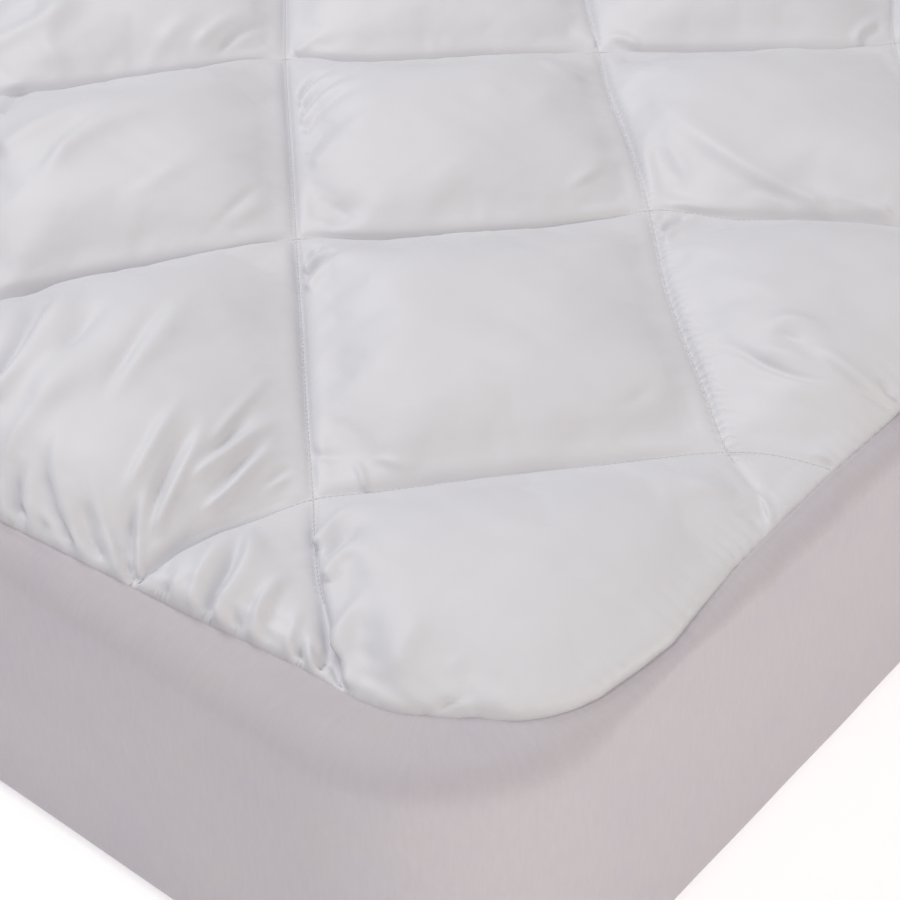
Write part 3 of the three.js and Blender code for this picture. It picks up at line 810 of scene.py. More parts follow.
class NodeTree:
    """A material's node tree, with short ways to add what the finishes share."""

    def __init__(self, name: str) -> None:
        """Make an empty material with its output node."""
        self.material = bpy.data.materials.new(name)
        self.material.use_nodes = True
        self.material.node_tree.nodes.clear()
        self.output = self.add("ShaderNodeOutputMaterial")

    def feed(self, target: Socket, value: Socket | float | tuple) -> None:
        """Join an input to an output, or give it a value of its own.

        Args:
            target: The input.
            value: The output that feeds it, or its value.
        """
        if isinstance(value, Socket):
            self.material.node_tree.links.new(value, target)
        else:
            target.default_value = value

    def add(self, kind: str, **values: Socket | float | tuple) -> bpy.types.Node:
        """Add a node.

        Args:
            kind: The node's type.
            values: Its inputs by name.

        Returns:
            The node.
        """
        node = self.material.node_tree.nodes.new(kind)
        for name, value in values.items():
            self.feed(node.inputs[name], value)
        return node

    def places(self) -> Socket:
        """The places on the piece, in metres."""
        return self.add("ShaderNodeTexCoord").outputs["Object"]

    def uv(self, name: str) -> Socket:
        """The places on one of the piece's UV maps."""
        node = self.add("ShaderNodeUVMap")
        node.uv_map = name
        return node.outputs["UV"]

    def attribute(self, name: str) -> Socket:
        """A value that the piece holds at each vertex."""
        node = self.add("ShaderNodeAttribute")
        node.attribute_name = name
        return node.outputs["Fac"]

    def split(self, places: Socket) -> tuple[Socket, Socket]:
        """The first two distances of places."""
        parts = self.add("ShaderNodeSeparateXYZ", Vector=places).outputs
        return parts["X"], parts["Y"]

    def noise(self, places: Socket, **values: float) -> Socket:
        """An uneven value over places."""
        return self.add("ShaderNodeTexNoise", Vector=places, **values).outputs["Fac"]

    def bump(self, height: Socket, **values: Socket | float) -> Socket:
        """The normal of a fine relief, on top of another normal where that is given."""
        return self.add("ShaderNodeBump", Height=height, **values).outputs["Normal"]

    def ramp(self, value: Socket, low: float, dark: tuple, light: tuple) -> Socket:
        """Turn a value into a colour.

        Args:
            value: The socket that gives the value.
            low: Where the ramp starts. It ends as far from 1.
            dark: The colour below that.
            light: The colour beyond the ramp's end.

        Returns:
            The colour's socket.
        """
        node = self.add("ShaderNodeValToRGB", Fac=value)
        stops = ((low, dark), (1 - low, light))
        for stop, (place, colour) in zip(node.color_ramp.elements, stops):
            stop.position = place
            stop.color = (*colour, 1.0)
        return node.outputs["Color"]

    def mix(
        self, factor: Socket | float, first: Socket, second: Socket | tuple, way: str = "MIX"
    ) -> Socket:
        """Mix two colours.

        Args:
            factor: How much the second one does.
            first: The first colour.
            second: The second one.
            way: How they mix.

        Returns:
            The mixed colour's socket.
        """
        node = self.add("ShaderNodeMix", Factor=factor)
        node.data_type, node.blend_type = "RGBA", way
        colour_a, colour_b, result = node.inputs[6], node.inputs[7], node.outputs[2]
        self.feed(colour_a, first)
        self.feed(colour_b, second)
        return result

    def combine(self, operation: str, first: Socket, second: Socket | float = 0.0) -> Socket:
        """Work out a value from another or from two, such as their product.

        Args:
            operation: What is done with them.
            first: The first value's socket.
            second: The second one's, or a plain number.

        Returns:
            The result's socket.
        """
        node = self.add("ShaderNodeMath")
        node.operation = operation
        self.feed(node.inputs[0], first)
        self.feed(node.inputs[1], second)
        return node.outputs["Value"]

    def near_multiple(self, value: Socket, period: float, reach: float) -> Socket:
        """Mark the places close to each multiple of a length.

        Args:
            value: The socket that gives the length.
            period: The distance between multiples.
            reach: How close counts, with a soft edge from 0.4 to 1.3 of it.

        Returns:
            The socket of the mark: 1 on a multiple, 0 beyond the reach.
        """
        mark = self.add("ShaderNodeMapRange", **{
            "Value": self.combine("PINGPONG", value, period / 2),
            "From Min": reach * 0.4, "From Max": reach * 1.3, "To Min": 1.0, "To Max": 0.0,
        })
        mark.interpolation_type = "SMOOTHSTEP"
        return mark.outputs["Result"]

    def wave(self, value: Socket, period: float) -> Socket:
        """A rounded ridge, 0 to 1 high, for each period of a length.

        Args:
            value: The socket that gives the length.
            period: The distance between ridges.

        Returns:
            The socket of the ridges' height.
        """
        turn = self.combine("MULTIPLY", value, math.pi / period)
        return self.combine("ABSOLUTE", self.combine("SINE", turn))

    def shader(self, **inputs: Socket | float | tuple) -> bpy.types.Material:
        """Add the surface shader with its inputs by name, and hand over the material."""
        surface = self.add("ShaderNodeBsdfPrincipled", **inputs)
        self.feed(self.output.inputs["Surface"], surface.outputs["BSDF"])
        return self.material


@dataclass(frozen=True)
class Microfibre:
    """Smooth brushed microfibre, white with a soft sheen, pricked and gathered where it is sewn, with
    painted shade darkening the needle holes.
    """

    cell: float
    stitch: float
    colour: tuple[float, float, float] = (0.690, 0.692, 0.726)
    shade: tuple[float, float, float] = (0.655, 0.655, 0.687)
    hole: float = 0.42 * MM
    hole_shade: float = 0.72
    gather: float = 6.2 * MM
    sway: float = 12 * MM

    def hole_shadows(self, tree: NodeTree, off: Socket, on: Socket) -> Socket:
        """Painted shade in the needle holes along one family of stitch lines.

        Args:
            tree: The material's tree.
            off: Distance across the family.
            on: Distance along it.

        Returns:
            The socket of how much painted shade darkens each place.
        """
        beside = tree.near_multiple(off, self.cell, self.hole)
        between = tree.near_multiple(on, self.stitch, self.hole)
        return tree.combine("MULTIPLY", beside, between)

    def material(self) -> bpy.types.Material:
        """Build the material on the panel's UV map, in metres along both families of lines.

        Returns:
            The material.
        """
        tree = NodeTree("microfibre")
        place = tree.places()
        cloud = tree.noise(place, Scale=14.0, Detail=3.0)
        pile = tree.noise(place, Scale=2100.0, Detail=2.0)
        crinkle = tree.noise(place, Scale=60.0, Detail=4.0, Roughness=0.6)
        across, along = tree.split(tree.uv("quilt"))
        # painted shade: the needle holes of both families are darkened, those of the lines down the
        # picture only where stitches show
        hole_shadow_mask = tree.combine(
            "MAXIMUM",
            tree.combine("MULTIPLY", self.hole_shadows(tree, across, along), tree.attribute("sewn")),
            self.hole_shadows(tree, along, across),
        )
        cloth = tree.ramp(cloud, 0.3, self.shade, self.colour)
        # the painted shade colour of the needle holes: the cloth's darker tone times hole_shade
        dark = (*(self.hole_shade * c for c in self.shade), 1.0)
        swayed = tree.combine("ADD", along, tree.combine("MULTIPLY", crinkle, self.sway))
        rungs = tree.combine("MULTIPLY", tree.wave(swayed, self.gather), tree.attribute("gathers"))
        fine = tree.bump(pile, Strength=0.25, Distance=0.18 * MM)
        ladder = tree.bump(rungs, Normal=fine, Strength=0.6, Distance=1.1 * MM)
        soft = tree.bump(crinkle, Normal=ladder, Strength=0.3, Distance=0.9 * MM)
        return tree.shader(**{
            "Base Color": tree.mix(hole_shadow_mask, cloth, dark), "Normal": soft, "Roughness": 0.5,
            "Specular IOR Level": 0.42, "Sheen Weight": 0.18, "Sheen Roughness": 0.35,
        })


@dataclass(frozen=True)
class StretchKnit:
    """Matt fine knit, with wales that run down the side and faint uneven streaks."""

    wale: float = 1.25 * MM
    course: float = 1.05 * MM
    colour: tuple[float, float, float] = (0.542, 0.517, 0.547)
    shade: tuple[float, float, float] = (0.519, 0.494, 0.523)
    warm: tuple[float, float, float] = (1.0, 0.992, 0.985)
    cool: tuple[float, float, float] = (0.972, 0.965, 0.995)

    def material(self) -> bpy.types.Material:
        """Build the material on the skirt's own UV map, in metres round and down it.

        Returns:
            The material.
        """
        tree = NodeTree("stretch_knit")
        place = tree.uv("knit")
        round_way, down = tree.split(place)
        knit = tree.combine(
            "MULTIPLY", tree.wave(round_way, self.wale), tree.wave(down, self.course)
        )
        drawn = tree.add("ShaderNodeMapping", Vector=place, Scale=(330.0, 60.0, 1.0))
        streak = tree.noise(drawn.outputs["Vector"], Scale=1.0, Detail=4.0, Roughness=0.65)
        cloud = tree.noise(place, Scale=16.0, Detail=4.0, Roughness=0.6)
        streaked = tree.ramp(streak, 0.32, self.shade, self.colour)
        tint = tree.ramp(cloud, 0.35, self.cool, self.warm)
        ribs = tree.bump(knit, Strength=0.2, Distance=0.3 * MM)
        soft = tree.bump(streak, Normal=ribs, Strength=0.2, Distance=0.5 * MM)
        return tree.shader(**{
            "Base Color": tree.mix(1.0, streaked, tint, "MULTIPLY"), "Normal": soft,
            "Roughness": 0.92, "Specular IOR Level": 0.18, "Sheen Weight": 0.12,
            "Sheen Roughness": 0.6,
        })


@dataclass(frozen=True)
class Thread:
    """White sewing thread with a slight gloss and its twist."""

    colour: tuple[float, float, float] = (0.74, 0.735, 0.75)
    shade: float = 0.86

    def material(self) -> bpy.types.Material:
        """Build the material.

        Returns:
            The material.
        """
        tree = NodeTree("thread")
        twist = tree.noise(tree.places(), Scale=1500.0, Detail=1.0)
        dark = tuple(self.shade * c for c in self.colour)
        cloth = tree.ramp(twist, 0.35, dark, self.colour)
        return tree.shader(**{"Base Color": cloth, "Roughness": 0.5})


@dataclass(frozen=True)
class Ticking:
    """The mattress's plain woven cover, with a faint herringbone of its weave."""

    colour: tuple[float, float, float] = (0.74, 0.72, 0.67)
    shade: float = 0.92
    yarn: float = 1.6 * MM

    def material(self) -> bpy.types.Material:
        """Build the material.

        Returns:
            The material.
        """
        tree = NodeTree("ticking")
        place = tree.places()
        weave = tree.combine("ADD", *(tree.wave(way, self.yarn) for way in tree.split(place)))
        cloud = tree.noise(place, Scale=18.0, Detail=3.0)
        dark = tuple(self.shade * c for c in self.colour)
        cloth = tree.ramp(cloud, 0.3, dark, self.colour)
        bump = tree.bump(weave, Strength=0.4, Distance=0.4 * MM)
        return tree.shader(**{"Base Color": cloth, "Normal": bump, "Roughness": 0.85})


@dataclass(frozen=True)
class PaleFloor:
    """A plain white floor, lit through from below so that it stays white beside the piece."""

    colour: tuple[float, float, float, float] = (0.9, 0.9, 0.9, 1.0)
    glow: float = 0.43

    def material(self) -> bpy.types.Material:
        """Build the material.

        Returns:
            The material.
        """
        return NodeTree("pale_floor").shader(**{
            "Base Color": self.colour, "Emission Color": self.colour,
            "Emission Strength": self.glow, "Roughness": 0.9,
        })


@dataclass(frozen=True)
class CellForm:
    """How full one cell is, as a share of the usual crown, and how softly it leaves its lines."""

    right: int
    near: int
    fill: float = 1.0
    softness: float = 0.66


CELL_FORMS = (
    CellForm(0, 1, 0.74, 0.8),
    CellForm(1, 0, 0.8, 0.9),
    CellForm(-1, -1, 1.12, 0.6),
    CellForm(1, -1, 0.92, 0.72),
    CellForm(-1, 1, 0.85, 0.75),
    CellForm(1, 1, 0.45, 0.9),
    CellForm(-1, 0, 1.18, 0.6),
    CellForm(0, 0, 1.0, 0.7),
)


@dataclass
class PanelFace:
    """A grid of the panel's upper face: counts of squares, places and distance in from the seam."""

    right: Array
    near: Array
    points: Array
    inside: Array

    def from_line(self) -> Array:
        """Distance from the nearest stitch line of either family, in counts of squares."""
        return np.minimum(np.abs(off_line(self.right)), np.abs(off_line(self.near)))


@dataclass
class Settling:
    """The cloth simulation that lets the panel's upper face fill out between its stitches.

    The cloth is a little larger than the place it has, is held at every stitch line and at the
    seam, and is blown up from below.
    """

    steps: int = 36
    frames: int = 20
    quality: int = 5
    pressure: float = 4.0
    growth: float = 0.03
    mass: float = 0.3
    stiffness: float = 15.0
    shear_share: float = 0.4
    bending: float = 0.5
    cap: float = 12 * MM
    margin: float = 3 * MM
    smoothing: int = 5
    fine_share: float = 0.25
    seam_band: float = 20 * MM
    broad_rise: float = 8.0
    fine_rise: float = 20.0

    def trial(self, face: PanelFace) -> tuple[bpy.types.Object, Array]:
        """Make the cloth to simulate.

        Args:
            face: A grid of the panel's upper face.

        Returns:
            The cloth, and the grid index of each of its vertices.
        """
        inside = face.inside.ravel()
        quads = grid_quads(face.inside.shape)
        quads = quads[(inside[quads] > -self.margin).all(axis=1)]
        used = np.unique(quads)
        faces = new_numbers(used, inside.size)[quads].tolist()
        cloth = object_from("panel_trial", face.points.reshape(-1, 3)[used], faces)
        sewn = (face.from_line().ravel() < NOTHING) | (inside < self.margin)
        group = cloth.vertex_groups.new(name="sewn")
        group.add(np.flatnonzero(sewn[used]).tolist(), 1.0, "REPLACE")
        return cloth, used

    def run(self, face: PanelFace) -> Array:
        """Simulate.

        Args:
            face: A grid of the panel's upper face.

        Returns:
            How far each grid point moved.
        """
        scene = bpy.context.scene
        cloth, used = self.trial(face)
        modifier = cloth.modifiers.new("cloth", "CLOTH")
        settings = modifier.settings
        settings.quality = self.quality
        settings.mass = self.mass
        settings.tension_stiffness = self.stiffness
        settings.compression_stiffness = self.stiffness
        settings.shear_stiffness = self.stiffness * self.shear_share
        settings.bending_stiffness = self.bending
        settings.shrink_min = -self.growth
        settings.vertex_group_mass = "sewn"
        settings.use_pressure = True
        settings.uniform_pressure_force = self.pressure
        settings.effector_weights.gravity = 0.0
        modifier.point_cache.frame_start = 1
        modifier.point_cache.frame_end = self.frames
        start = np.array([v.co for v in cloth.data.vertices])
        for number in range(1, self.frames + 1):
            scene.frame_set(number)
        shown = cloth.evaluated_get(bpy.context.evaluated_depsgraph_get())
        moved = np.empty(start.size)
        shown.to_mesh().vertices.foreach_get("co", moved)
        shown.to_mesh_clear()
        moved = moved.reshape(-1, 3) - start
        LOG.info("settled by %.2f mm on average", moved[:, 2].mean() / MM)
        bpy.data.objects.remove(cloth, do_unlink=True)
        scene.frame_set(1)
        length = np.linalg.norm(moved, axis=1)
        moved *= (np.minimum(length, self.cap) / np.maximum(length, TINY))[:, None]
        result = np.zeros((face.inside.size, 3))
        result[used] = moved
        return self.calm(result.reshape(*face.inside.shape, 3), face)

    def calm(self, moved: Array, face: PanelFace) -> Array:
        """Take most of the fine buckles out, which a taut filled cloth doesn't keep.

        Args:
            moved: How far each grid point moved.
            face: The grid.

        Returns:
            The calmed moves, still nothing on the stitch lines.
        """
        broad = moved.copy()
        for _ in range(self.smoothing):
            for axis in (0, 1):
                before, after = np.roll(broad, 1, axis), np.roll(broad, -1, axis)
                broad = 0.25 * before + 0.5 * broad + 0.25 * after
        off = face.from_line()
        held = smooth(off * self.broad_rise) * smooth(face.inside / self.seam_band)
        calmed = broad * held[..., None] + self.fine_share * (moved - broad)
        return calmed * smooth(off * self.fine_rise)[..., None]

    def spread(self, coarse: Array, reach: tuple, fine: Array, axis: int) -> Array:
        """Carry values from the simulated grid's even lines to the final mesh's lines.

        Args:
            coarse: The values.
            reach: First and last stitch line along the axis.
            fine: The final mesh's places along the axis, in counts of squares.
            axis: Which axis of the grid.

        Returns:
            The values on the final mesh's lines.
        """
        last = coarse.shape[axis] - 1
        at = np.clip((fine - reach[0]) * self.steps, 0, last - NOTHING)
        k = np.floor(at).astype(int)
        t = (at - k).reshape([-1 if a == axis else 1 for a in range(coarse.ndim)])
        four = (np.take(coarse, np.clip(k + shift, 0, last), axis=axis) for shift in (-1, 0, 1, 2))
        return cubic(*four, t)


@dataclass
class QuiltedPanel:
    """The filled panel: crowned cells between sewn lines, with its creases and sewn edge.

    Stitch lines run down the picture or across it. A cell rises more steeply from the line on
    its left and from the line on its far side, by the flanks' shares, than from the other two.
    The sway and the patch of puckers and tucks are lengths over which their spacing and their
    strength vary.
    """

    rim: Rim
    quilting: Quilting
    underside: float
    stitch_plane: float
    settling: Settling
    view: Viewpoint = Viewpoint()
    crown: float = 20 * MM
    roundness: float = 2.3
    down_channel: float = 1.3 * MM
    down_lip: float = 0.13
    down_flank: float = 0.6
    across_channel: float = 0.8 * MM
    across_lip: float = 0.17
    across_flank: float = 0.85
    slack_flank: float = 1.2
    lip_reach: float = 2.6 * MM
    crest_headroom: float = 15 * MM
    crest_ease: float = 4.5 * MM
    edge_roll: float = 48 * MM
    edge_fullness: float = 0.66
    end_fullness: float = 0.5
    end_band: float = 90 * MM
    end_ease: float = 60 * MM
    seam_height: float = 1.2 * MM
    underside_lift: float = 0.2 * MM
    swell_at: float = 9 * MM
    swell_width: float = 8 * MM
    swell_start: float = 4 * MM
    line_hold: float = 2.6 * MM
    seam_hold: float = 5 * MM
    seam_rise: float = 2 * MM
    filling: float = 0.5 * MM
    fine_filling: float = 0.25 * MM
    filling_from_line: float = 20 * MM
    filling_from_seam: float = 12 * MM
    pucker: float = 0.12 * MM
    pucker_pitch: float = 11 * MM
    pucker_reach: float = 4.5 * MM
    pucker_sway: float = 17 * MM
    pucker_patch: float = 28 * MM
    tuck: float = 0.45 * MM
    tuck_pitch: float = 13 * MM
    tuck_reach: float = 6 * MM
    tuck_sway: float = 23 * MM
    tuck_patch: float = 40 * MM
    plain_gathers: float = 0.3
    gathered_line: int = 1
    gathered_least: float = 0.55
    gathered_from: float = -0.4
    gathered_rise: float = 0.9
    gathered_right: float = 8 * MM
    gathered_left: float = 3.6 * MM
    gathered_narrow: float = 0.6
    plain_steps: int = 28
    grading: float = 0.3
    steps_right: tuple = ((-2, 60), (-1, 130), (0, 120), (1, 110), (2, 56))
    steps_near: tuple = ((-3, 40), (-2, 64), (-1, 92), (0, 130), (1, 130), (2, 60))
    last_sewn: tuple = ((1, 1.02), (0, 1.36))
    hidden_beside: float = 0.03
    hidden_side: float = 0.02
    hidden_start: float = 0.05
    reach_right: tuple[int, int] = (-4, 8)
    reach_near: tuple[int, int] = (-8, 4)

    def counts(self, reach: tuple[int, int], finer: tuple) -> Array:
        """Places of the grid's lines along one direction of the quilting.

        Args:
            reach: First and last stitch line.
            finer: The steps of each cell that the photograph shows.

        Returns:
            The places in counts of squares, closer together beside the stitch lines.
        """
        values = []
        for cell in range(*reach):
            steps = dict(finer).get(cell, self.plain_steps)
            t = np.arange(steps) / steps
            values.append(cell + t - self.grading * np.sin(2 * math.pi * t) / (2 * math.pi))
        return np.concatenate(values + [[float(reach[1])]])

    def arch(self, away: Array, softness: Array, channel: float, lip: float) -> Array:
        """How full a cell is at a distance from a stitch line.

        Args:
            away: The distance.
            softness: How softly the cell leaves the line.
            channel: Half the width of the flat strip that the line is sewn along.
            lip: The share of the crown that the cloth gains right beside the strip.

        Returns:
            The share of the cell's crown.
        """
        half = self.quilting.side / 2
        beside = np.maximum(away - channel, 0)
        way = np.minimum(beside / (half - channel), 1)
        dome = (1 - (1 - way) ** self.roundness) ** softness
        return (1 - lip) * dome + lip * (1 - np.exp(-beside / self.lip_reach))

    def cell_values(self, right: Array, near: Array, column: str) -> Array:
        """Look up a value of the cell that each place is in.

        Args:
            right: Counts of squares across the picture.
            near: Counts of squares towards the camera.
            column: Which value of the cells' forms.

        Returns:
            The value at each place.
        """
        values = np.full_like(right, getattr(CellForm(0, 0), column))
        for form in CELL_FORMS:
            here = (np.floor(right) == form.right) & (np.floor(near) == form.near)
            values[here] = getattr(form, column)
        return values

    def height(
        self, right: Array, near: Array, x: Array, y: Array, inside: Array
    ) -> tuple[Array, Array]:
        """Height of the smooth cells.

        Args:
            right: Counts of squares across the picture.
            near: Counts of squares towards the camera.
            x: Places across.
            y: Places along.
            inside: Distance in from the seam.

        Returns:
            The height, and how full the cell is there.
        """
        softness = self.cell_values(right, near, "softness")
        fullness = np.ones_like(right)
        for count, channel, lip, flank in (
            (right, self.down_channel, self.down_lip, self.down_flank),
            (near, self.across_channel, self.across_lip, self.across_flank),
        ):
            away = off_line(count) * self.quilting.side
            lean = np.where(away > 0, flank, self.slack_flank)
            fullness = fullness * self.arch(np.abs(away), softness * lean, channel, lip)
        inward = 1 - np.clip(inside / self.edge_roll, 0, 1)
        end = smooth((np.abs(y) - self.rim.half_length + self.end_band) / self.end_ease)
        steepness = self.edge_fullness + (self.end_fullness - self.edge_fullness) * end
        roll = (1 - inward**2) ** steepness
        plumpness = self.cell_values(right, near, "fill") * (
            1 + 0.1 * uneven(x, y, size=200 * MM, seed=1.0)
            + 0.05 * uneven(x, y, size=70 * MM, seed=4.0)
        )
        sewn = self.seam_height + roll * (self.stitch_plane - self.underside - self.seam_height)
        return self.underside + sewn + roll * fullness * self.crown * plumpness, fullness

    def swell_out(
        self, x: Array, y: Array, inside: Array, overhang: Array
    ) -> tuple[Array, Array]:
        """Push the panel's round edge out over the seam.

        Args:
            x: Places across.
            y: Places along.
            inside: Distance in from the seam.
            overhang: How far the edge swells out.

        Returns:
            The pushed places.
        """
        out_x, out_y = (
            np.sign(at) * np.maximum(np.abs(at) - (half - self.rim.corner), 0)
            for at, half in ((x, self.rim.half_width), (y, self.rim.half_length))
        )
        length = np.maximum(np.hypot(out_x, out_y), NOTHING)
        swell = np.exp(-(((inside - self.swell_at) / self.swell_width) ** 2))
        push = overhang * swell * smooth(inside / self.swell_start)
        return x + push * out_x / length, y + push * out_y / length

    def face(self, right_lines: Array, near_lines: Array) -> PanelFace:
        """Shape the smooth upper face on a grid.

        Args:
            right_lines: The grid's lines across the picture, in counts of squares.
            near_lines: Its lines towards the camera.

        Returns:
            The face.
        """
        right, near = np.meshgrid(right_lines, near_lines, indexing="ij")
        x, y = self.quilting.place(right, near)
        inside, overhang = self.rim.beside_seam(x, y)
        z, fullness = self.height(right, near, x, y, inside)
        x, y = self.swell_out(x, y, inside, overhang * fullness)
        return PanelFace(right, near, np.stack([x, y, z], axis=2), inside)

    def build(self) -> bpy.types.Object:
        """Shape the panel's upper face on a grid, cut it to the seam and close it below.

        Returns:
            The cloth.
        """
        right_lines = self.counts(self.reach_right, self.steps_right)
        near_lines = self.counts(self.reach_near, self.steps_near)
        face = self.face(right_lines, near_lines)
        settling, steps = self.settling, self.settling.steps
        even_lines = (
            np.arange(first * steps, last * steps + 1) / steps
            for first, last in (self.reach_right, self.reach_near)
        )
        moved = settling.run(self.face(*even_lines))
        moved = settling.spread(moved, self.reach_right, right_lines, axis=0)
        face.points += settling.spread(moved, self.reach_near, near_lines, axis=1)
        points = face.points + grid_normals(face.points) * self.relief(face)[..., None]
        points[..., 2] = self.ease_crests(points[..., 2])
        side = self.quilting.side
        guide = (face.right * side, face.near * side, self.ladder(face),
                 self.sewn(face.right, face.near))
        vertices, faces = cut_to_edge(
            np.concatenate([points, np.stack(guide, axis=2)], axis=2), face.inside,
            self.underside + self.seam_height,
        )
        piece = object_from("quilted_panel_cloth", vertices[:, :3], faces)
        self.lay_guide(piece, vertices[:, 3:])
        self.close_below(piece)
        return piece

    def ease_crests(self, z: Array) -> Array:
        """Flatten the few highest crests a little, towards a ceiling above the solid's top.

        Args:
            z: Heights.

        Returns:
            The eased heights.
        """
        start = CAD_BOX[1][2] + self.crest_headroom - self.crest_ease
        over = np.maximum(z - start, 0)
        return z - over + self.crest_ease * (1 - np.exp(-over / self.crest_ease))

    def ladder(self, face: PanelFace) -> Array:
        """How strongly the fine gathers show beside the stitch lines that run down the picture.

        Args:
            face: The upper face.

        Returns:
            A share at each place, most beside the gathered line and at its near end.
        """
        away = off_line(face.right) * self.quilting.side
        gathered = np.round(face.right) == self.gathered_line
        grown = smooth((face.near - self.gathered_from) / self.gathered_rise)
        most = self.gathered_least + (1 - self.gathered_least) * grown
        strong = np.where(gathered, most, self.plain_gathers)
        wide = np.where(gathered & (away > 0), self.gathered_right, self.gathered_left)
        wide *= np.where(gathered, self.gathered_narrow * (1 + np.clip(face.near, 0, 1)), 1.0)
        return strong * self.sewn(face.right, face.near) * np.exp(-((away / wide) ** 2))

    def sewn(self, right: Array, near: Array) -> Array:
        """Whether stitches show: 0 where a fold hides the lower end of a line, otherwise 1.

        Args:
            right: Counts of squares across the picture.
            near: Counts of squares towards the camera.

        Returns:
            The share that shows at each place.
        """
        hidden = np.zeros(right.shape)
        for line, last in self.last_sewn:
            away = np.abs(right - line) - self.hidden_beside
            below = smooth((near - last) / self.hidden_start)
            hidden = np.maximum(hidden, (1 - smooth(away / self.hidden_side)) * below)
        return 1.0 - hidden

    def lay_guide(self, piece: bpy.types.Object, guide: Array) -> None:
        """Give the cloth its distances along both families of lines, and its fine gathers.

        Args:
            piece: The cloth.
            guide: Both distances, the gathers' strength and the share of the needle holes' painted
                shade that shows, at each vertex.
        """
        vertices = np.empty(len(piece.data.loops), dtype=int)
        piece.data.loops.foreach_get("vertex_index", vertices)
        lay_map(piece, "quilt", guide[vertices, :2])
        for column, name in ((2, "gathers"), (3, "sewn")):
            layer = piece.data.attributes.new(name, "FLOAT", "POINT")
            layer.data.foreach_set("value", guide[:, column].copy())

    def relief(self, face: PanelFace) -> Array:
        """What stands out of the smooth cells: creases, puckers and uneven filling.

        Args:
            face: The smooth face.

        Returns:
            The lift along the surface's normal.
        """
        x, y = face.points[..., 0], face.points[..., 1]
        across, down = (pixels.ravel() for pixels in self.view.pixels(face.points))
        creases = ChanceCreases().place(self.quilting, self.reach_right, self.reach_near)
        creased = np.zeros(x.size)
        for shapes, first, second in (
            (creases, x.ravel(), y.ravel()), (PICTURE_FOLDS, across, down),
        ):
            for shape in shapes:
                reached, height = shape.height_at(first, second)
                creased[reached] += height
        from_line = face.from_line() * self.quilting.side
        held = np.maximum(smooth(from_line / self.line_hold), 1 - self.sewn(face.right, face.near))
        filling = self.filling * uneven(x, y, size=45 * MM, seed=7.0)
        filling = filling + self.fine_filling * uneven(x, y, size=20 * MM, seed=9.0)
        filled = smooth(from_line / self.filling_from_line)
        gathered = self.puckers(face) + self.tucks(x, y, face.inside)
        return (
            creased.reshape(x.shape) * held * smooth(face.inside / self.seam_hold)
            + filling * filled * smooth(face.inside / self.filling_from_seam)
            + gathered * smooth(face.inside / self.seam_rise)
        )

    def puckers(self, face: PanelFace) -> Array:
        """Small scallops on both sides of the stitch lines that run down the picture.

        Args:
            face: The smooth face.

        Returns:
            The lift along the surface's normal.
        """
        away = off_line(face.right) * self.quilting.side
        bank = np.round(face.right) * 3.1 + np.where(away > 0, 1.7, 0.0)
        length = face.near * self.quilting.side
        sway = 2.2 * np.sin(length / self.pucker_sway + bank)
        phase = length / self.pucker_pitch * 2 * math.pi + sway
        strength = smooth(0.55 + 0.75 * wander(length / self.pucker_patch, seed=3.0) * np.cos(bank))
        scallop = hump(np.abs(away) / self.pucker_reach)
        return self.pucker * strength * np.sin(phase + bank) * scallop

    def tucks(self, x: Array, y: Array, inside: Array) -> Array:
        """Small tucks where the panel's edge is eased on to the seam.

        Args:
            x: Places across.
            y: Places along.
            inside: Distance in from the seam.

        Returns:
            The lift along the surface's normal.
        """
        along = (x - y) * 0.7 + (x + y) * 0.7 * np.sign(x * y)
        phase = along / self.tuck_pitch * 2 * math.pi + 2.0 * np.sin(along / self.tuck_sway)
        strength = smooth(0.5 + 0.6 * wander(along / self.tuck_patch, seed=5.0))
        return self.tuck * strength * np.sin(phase) * hump(inside / self.tuck_reach)

    def close_below(self, piece: bpy.types.Object) -> None:
        """Turn the sewn edge down and close the panel with its flat underside.

        Args:
            piece: The cloth, open below.
        """
        make_active(piece)
        bpy.ops.object.mode_set(mode="EDIT")
        bpy.ops.mesh.select_mode(type="EDGE")
        bpy.ops.mesh.select_all(action="DESELECT")
        bpy.ops.mesh.select_non_manifold(extend=False, use_boundary=True, use_wire=False,
                                         use_multi_face=False, use_non_contiguous=False,
                                         use_verts=False)
        turned_down = self.underside_lift - self.seam_height
        bpy.ops.mesh.extrude_edges_move(
            TRANSFORM_OT_translate={"value": (0.0, 0.0, turned_down)}
        )
        bpy.ops.mesh.edge_face_add()
        turn_outwards()


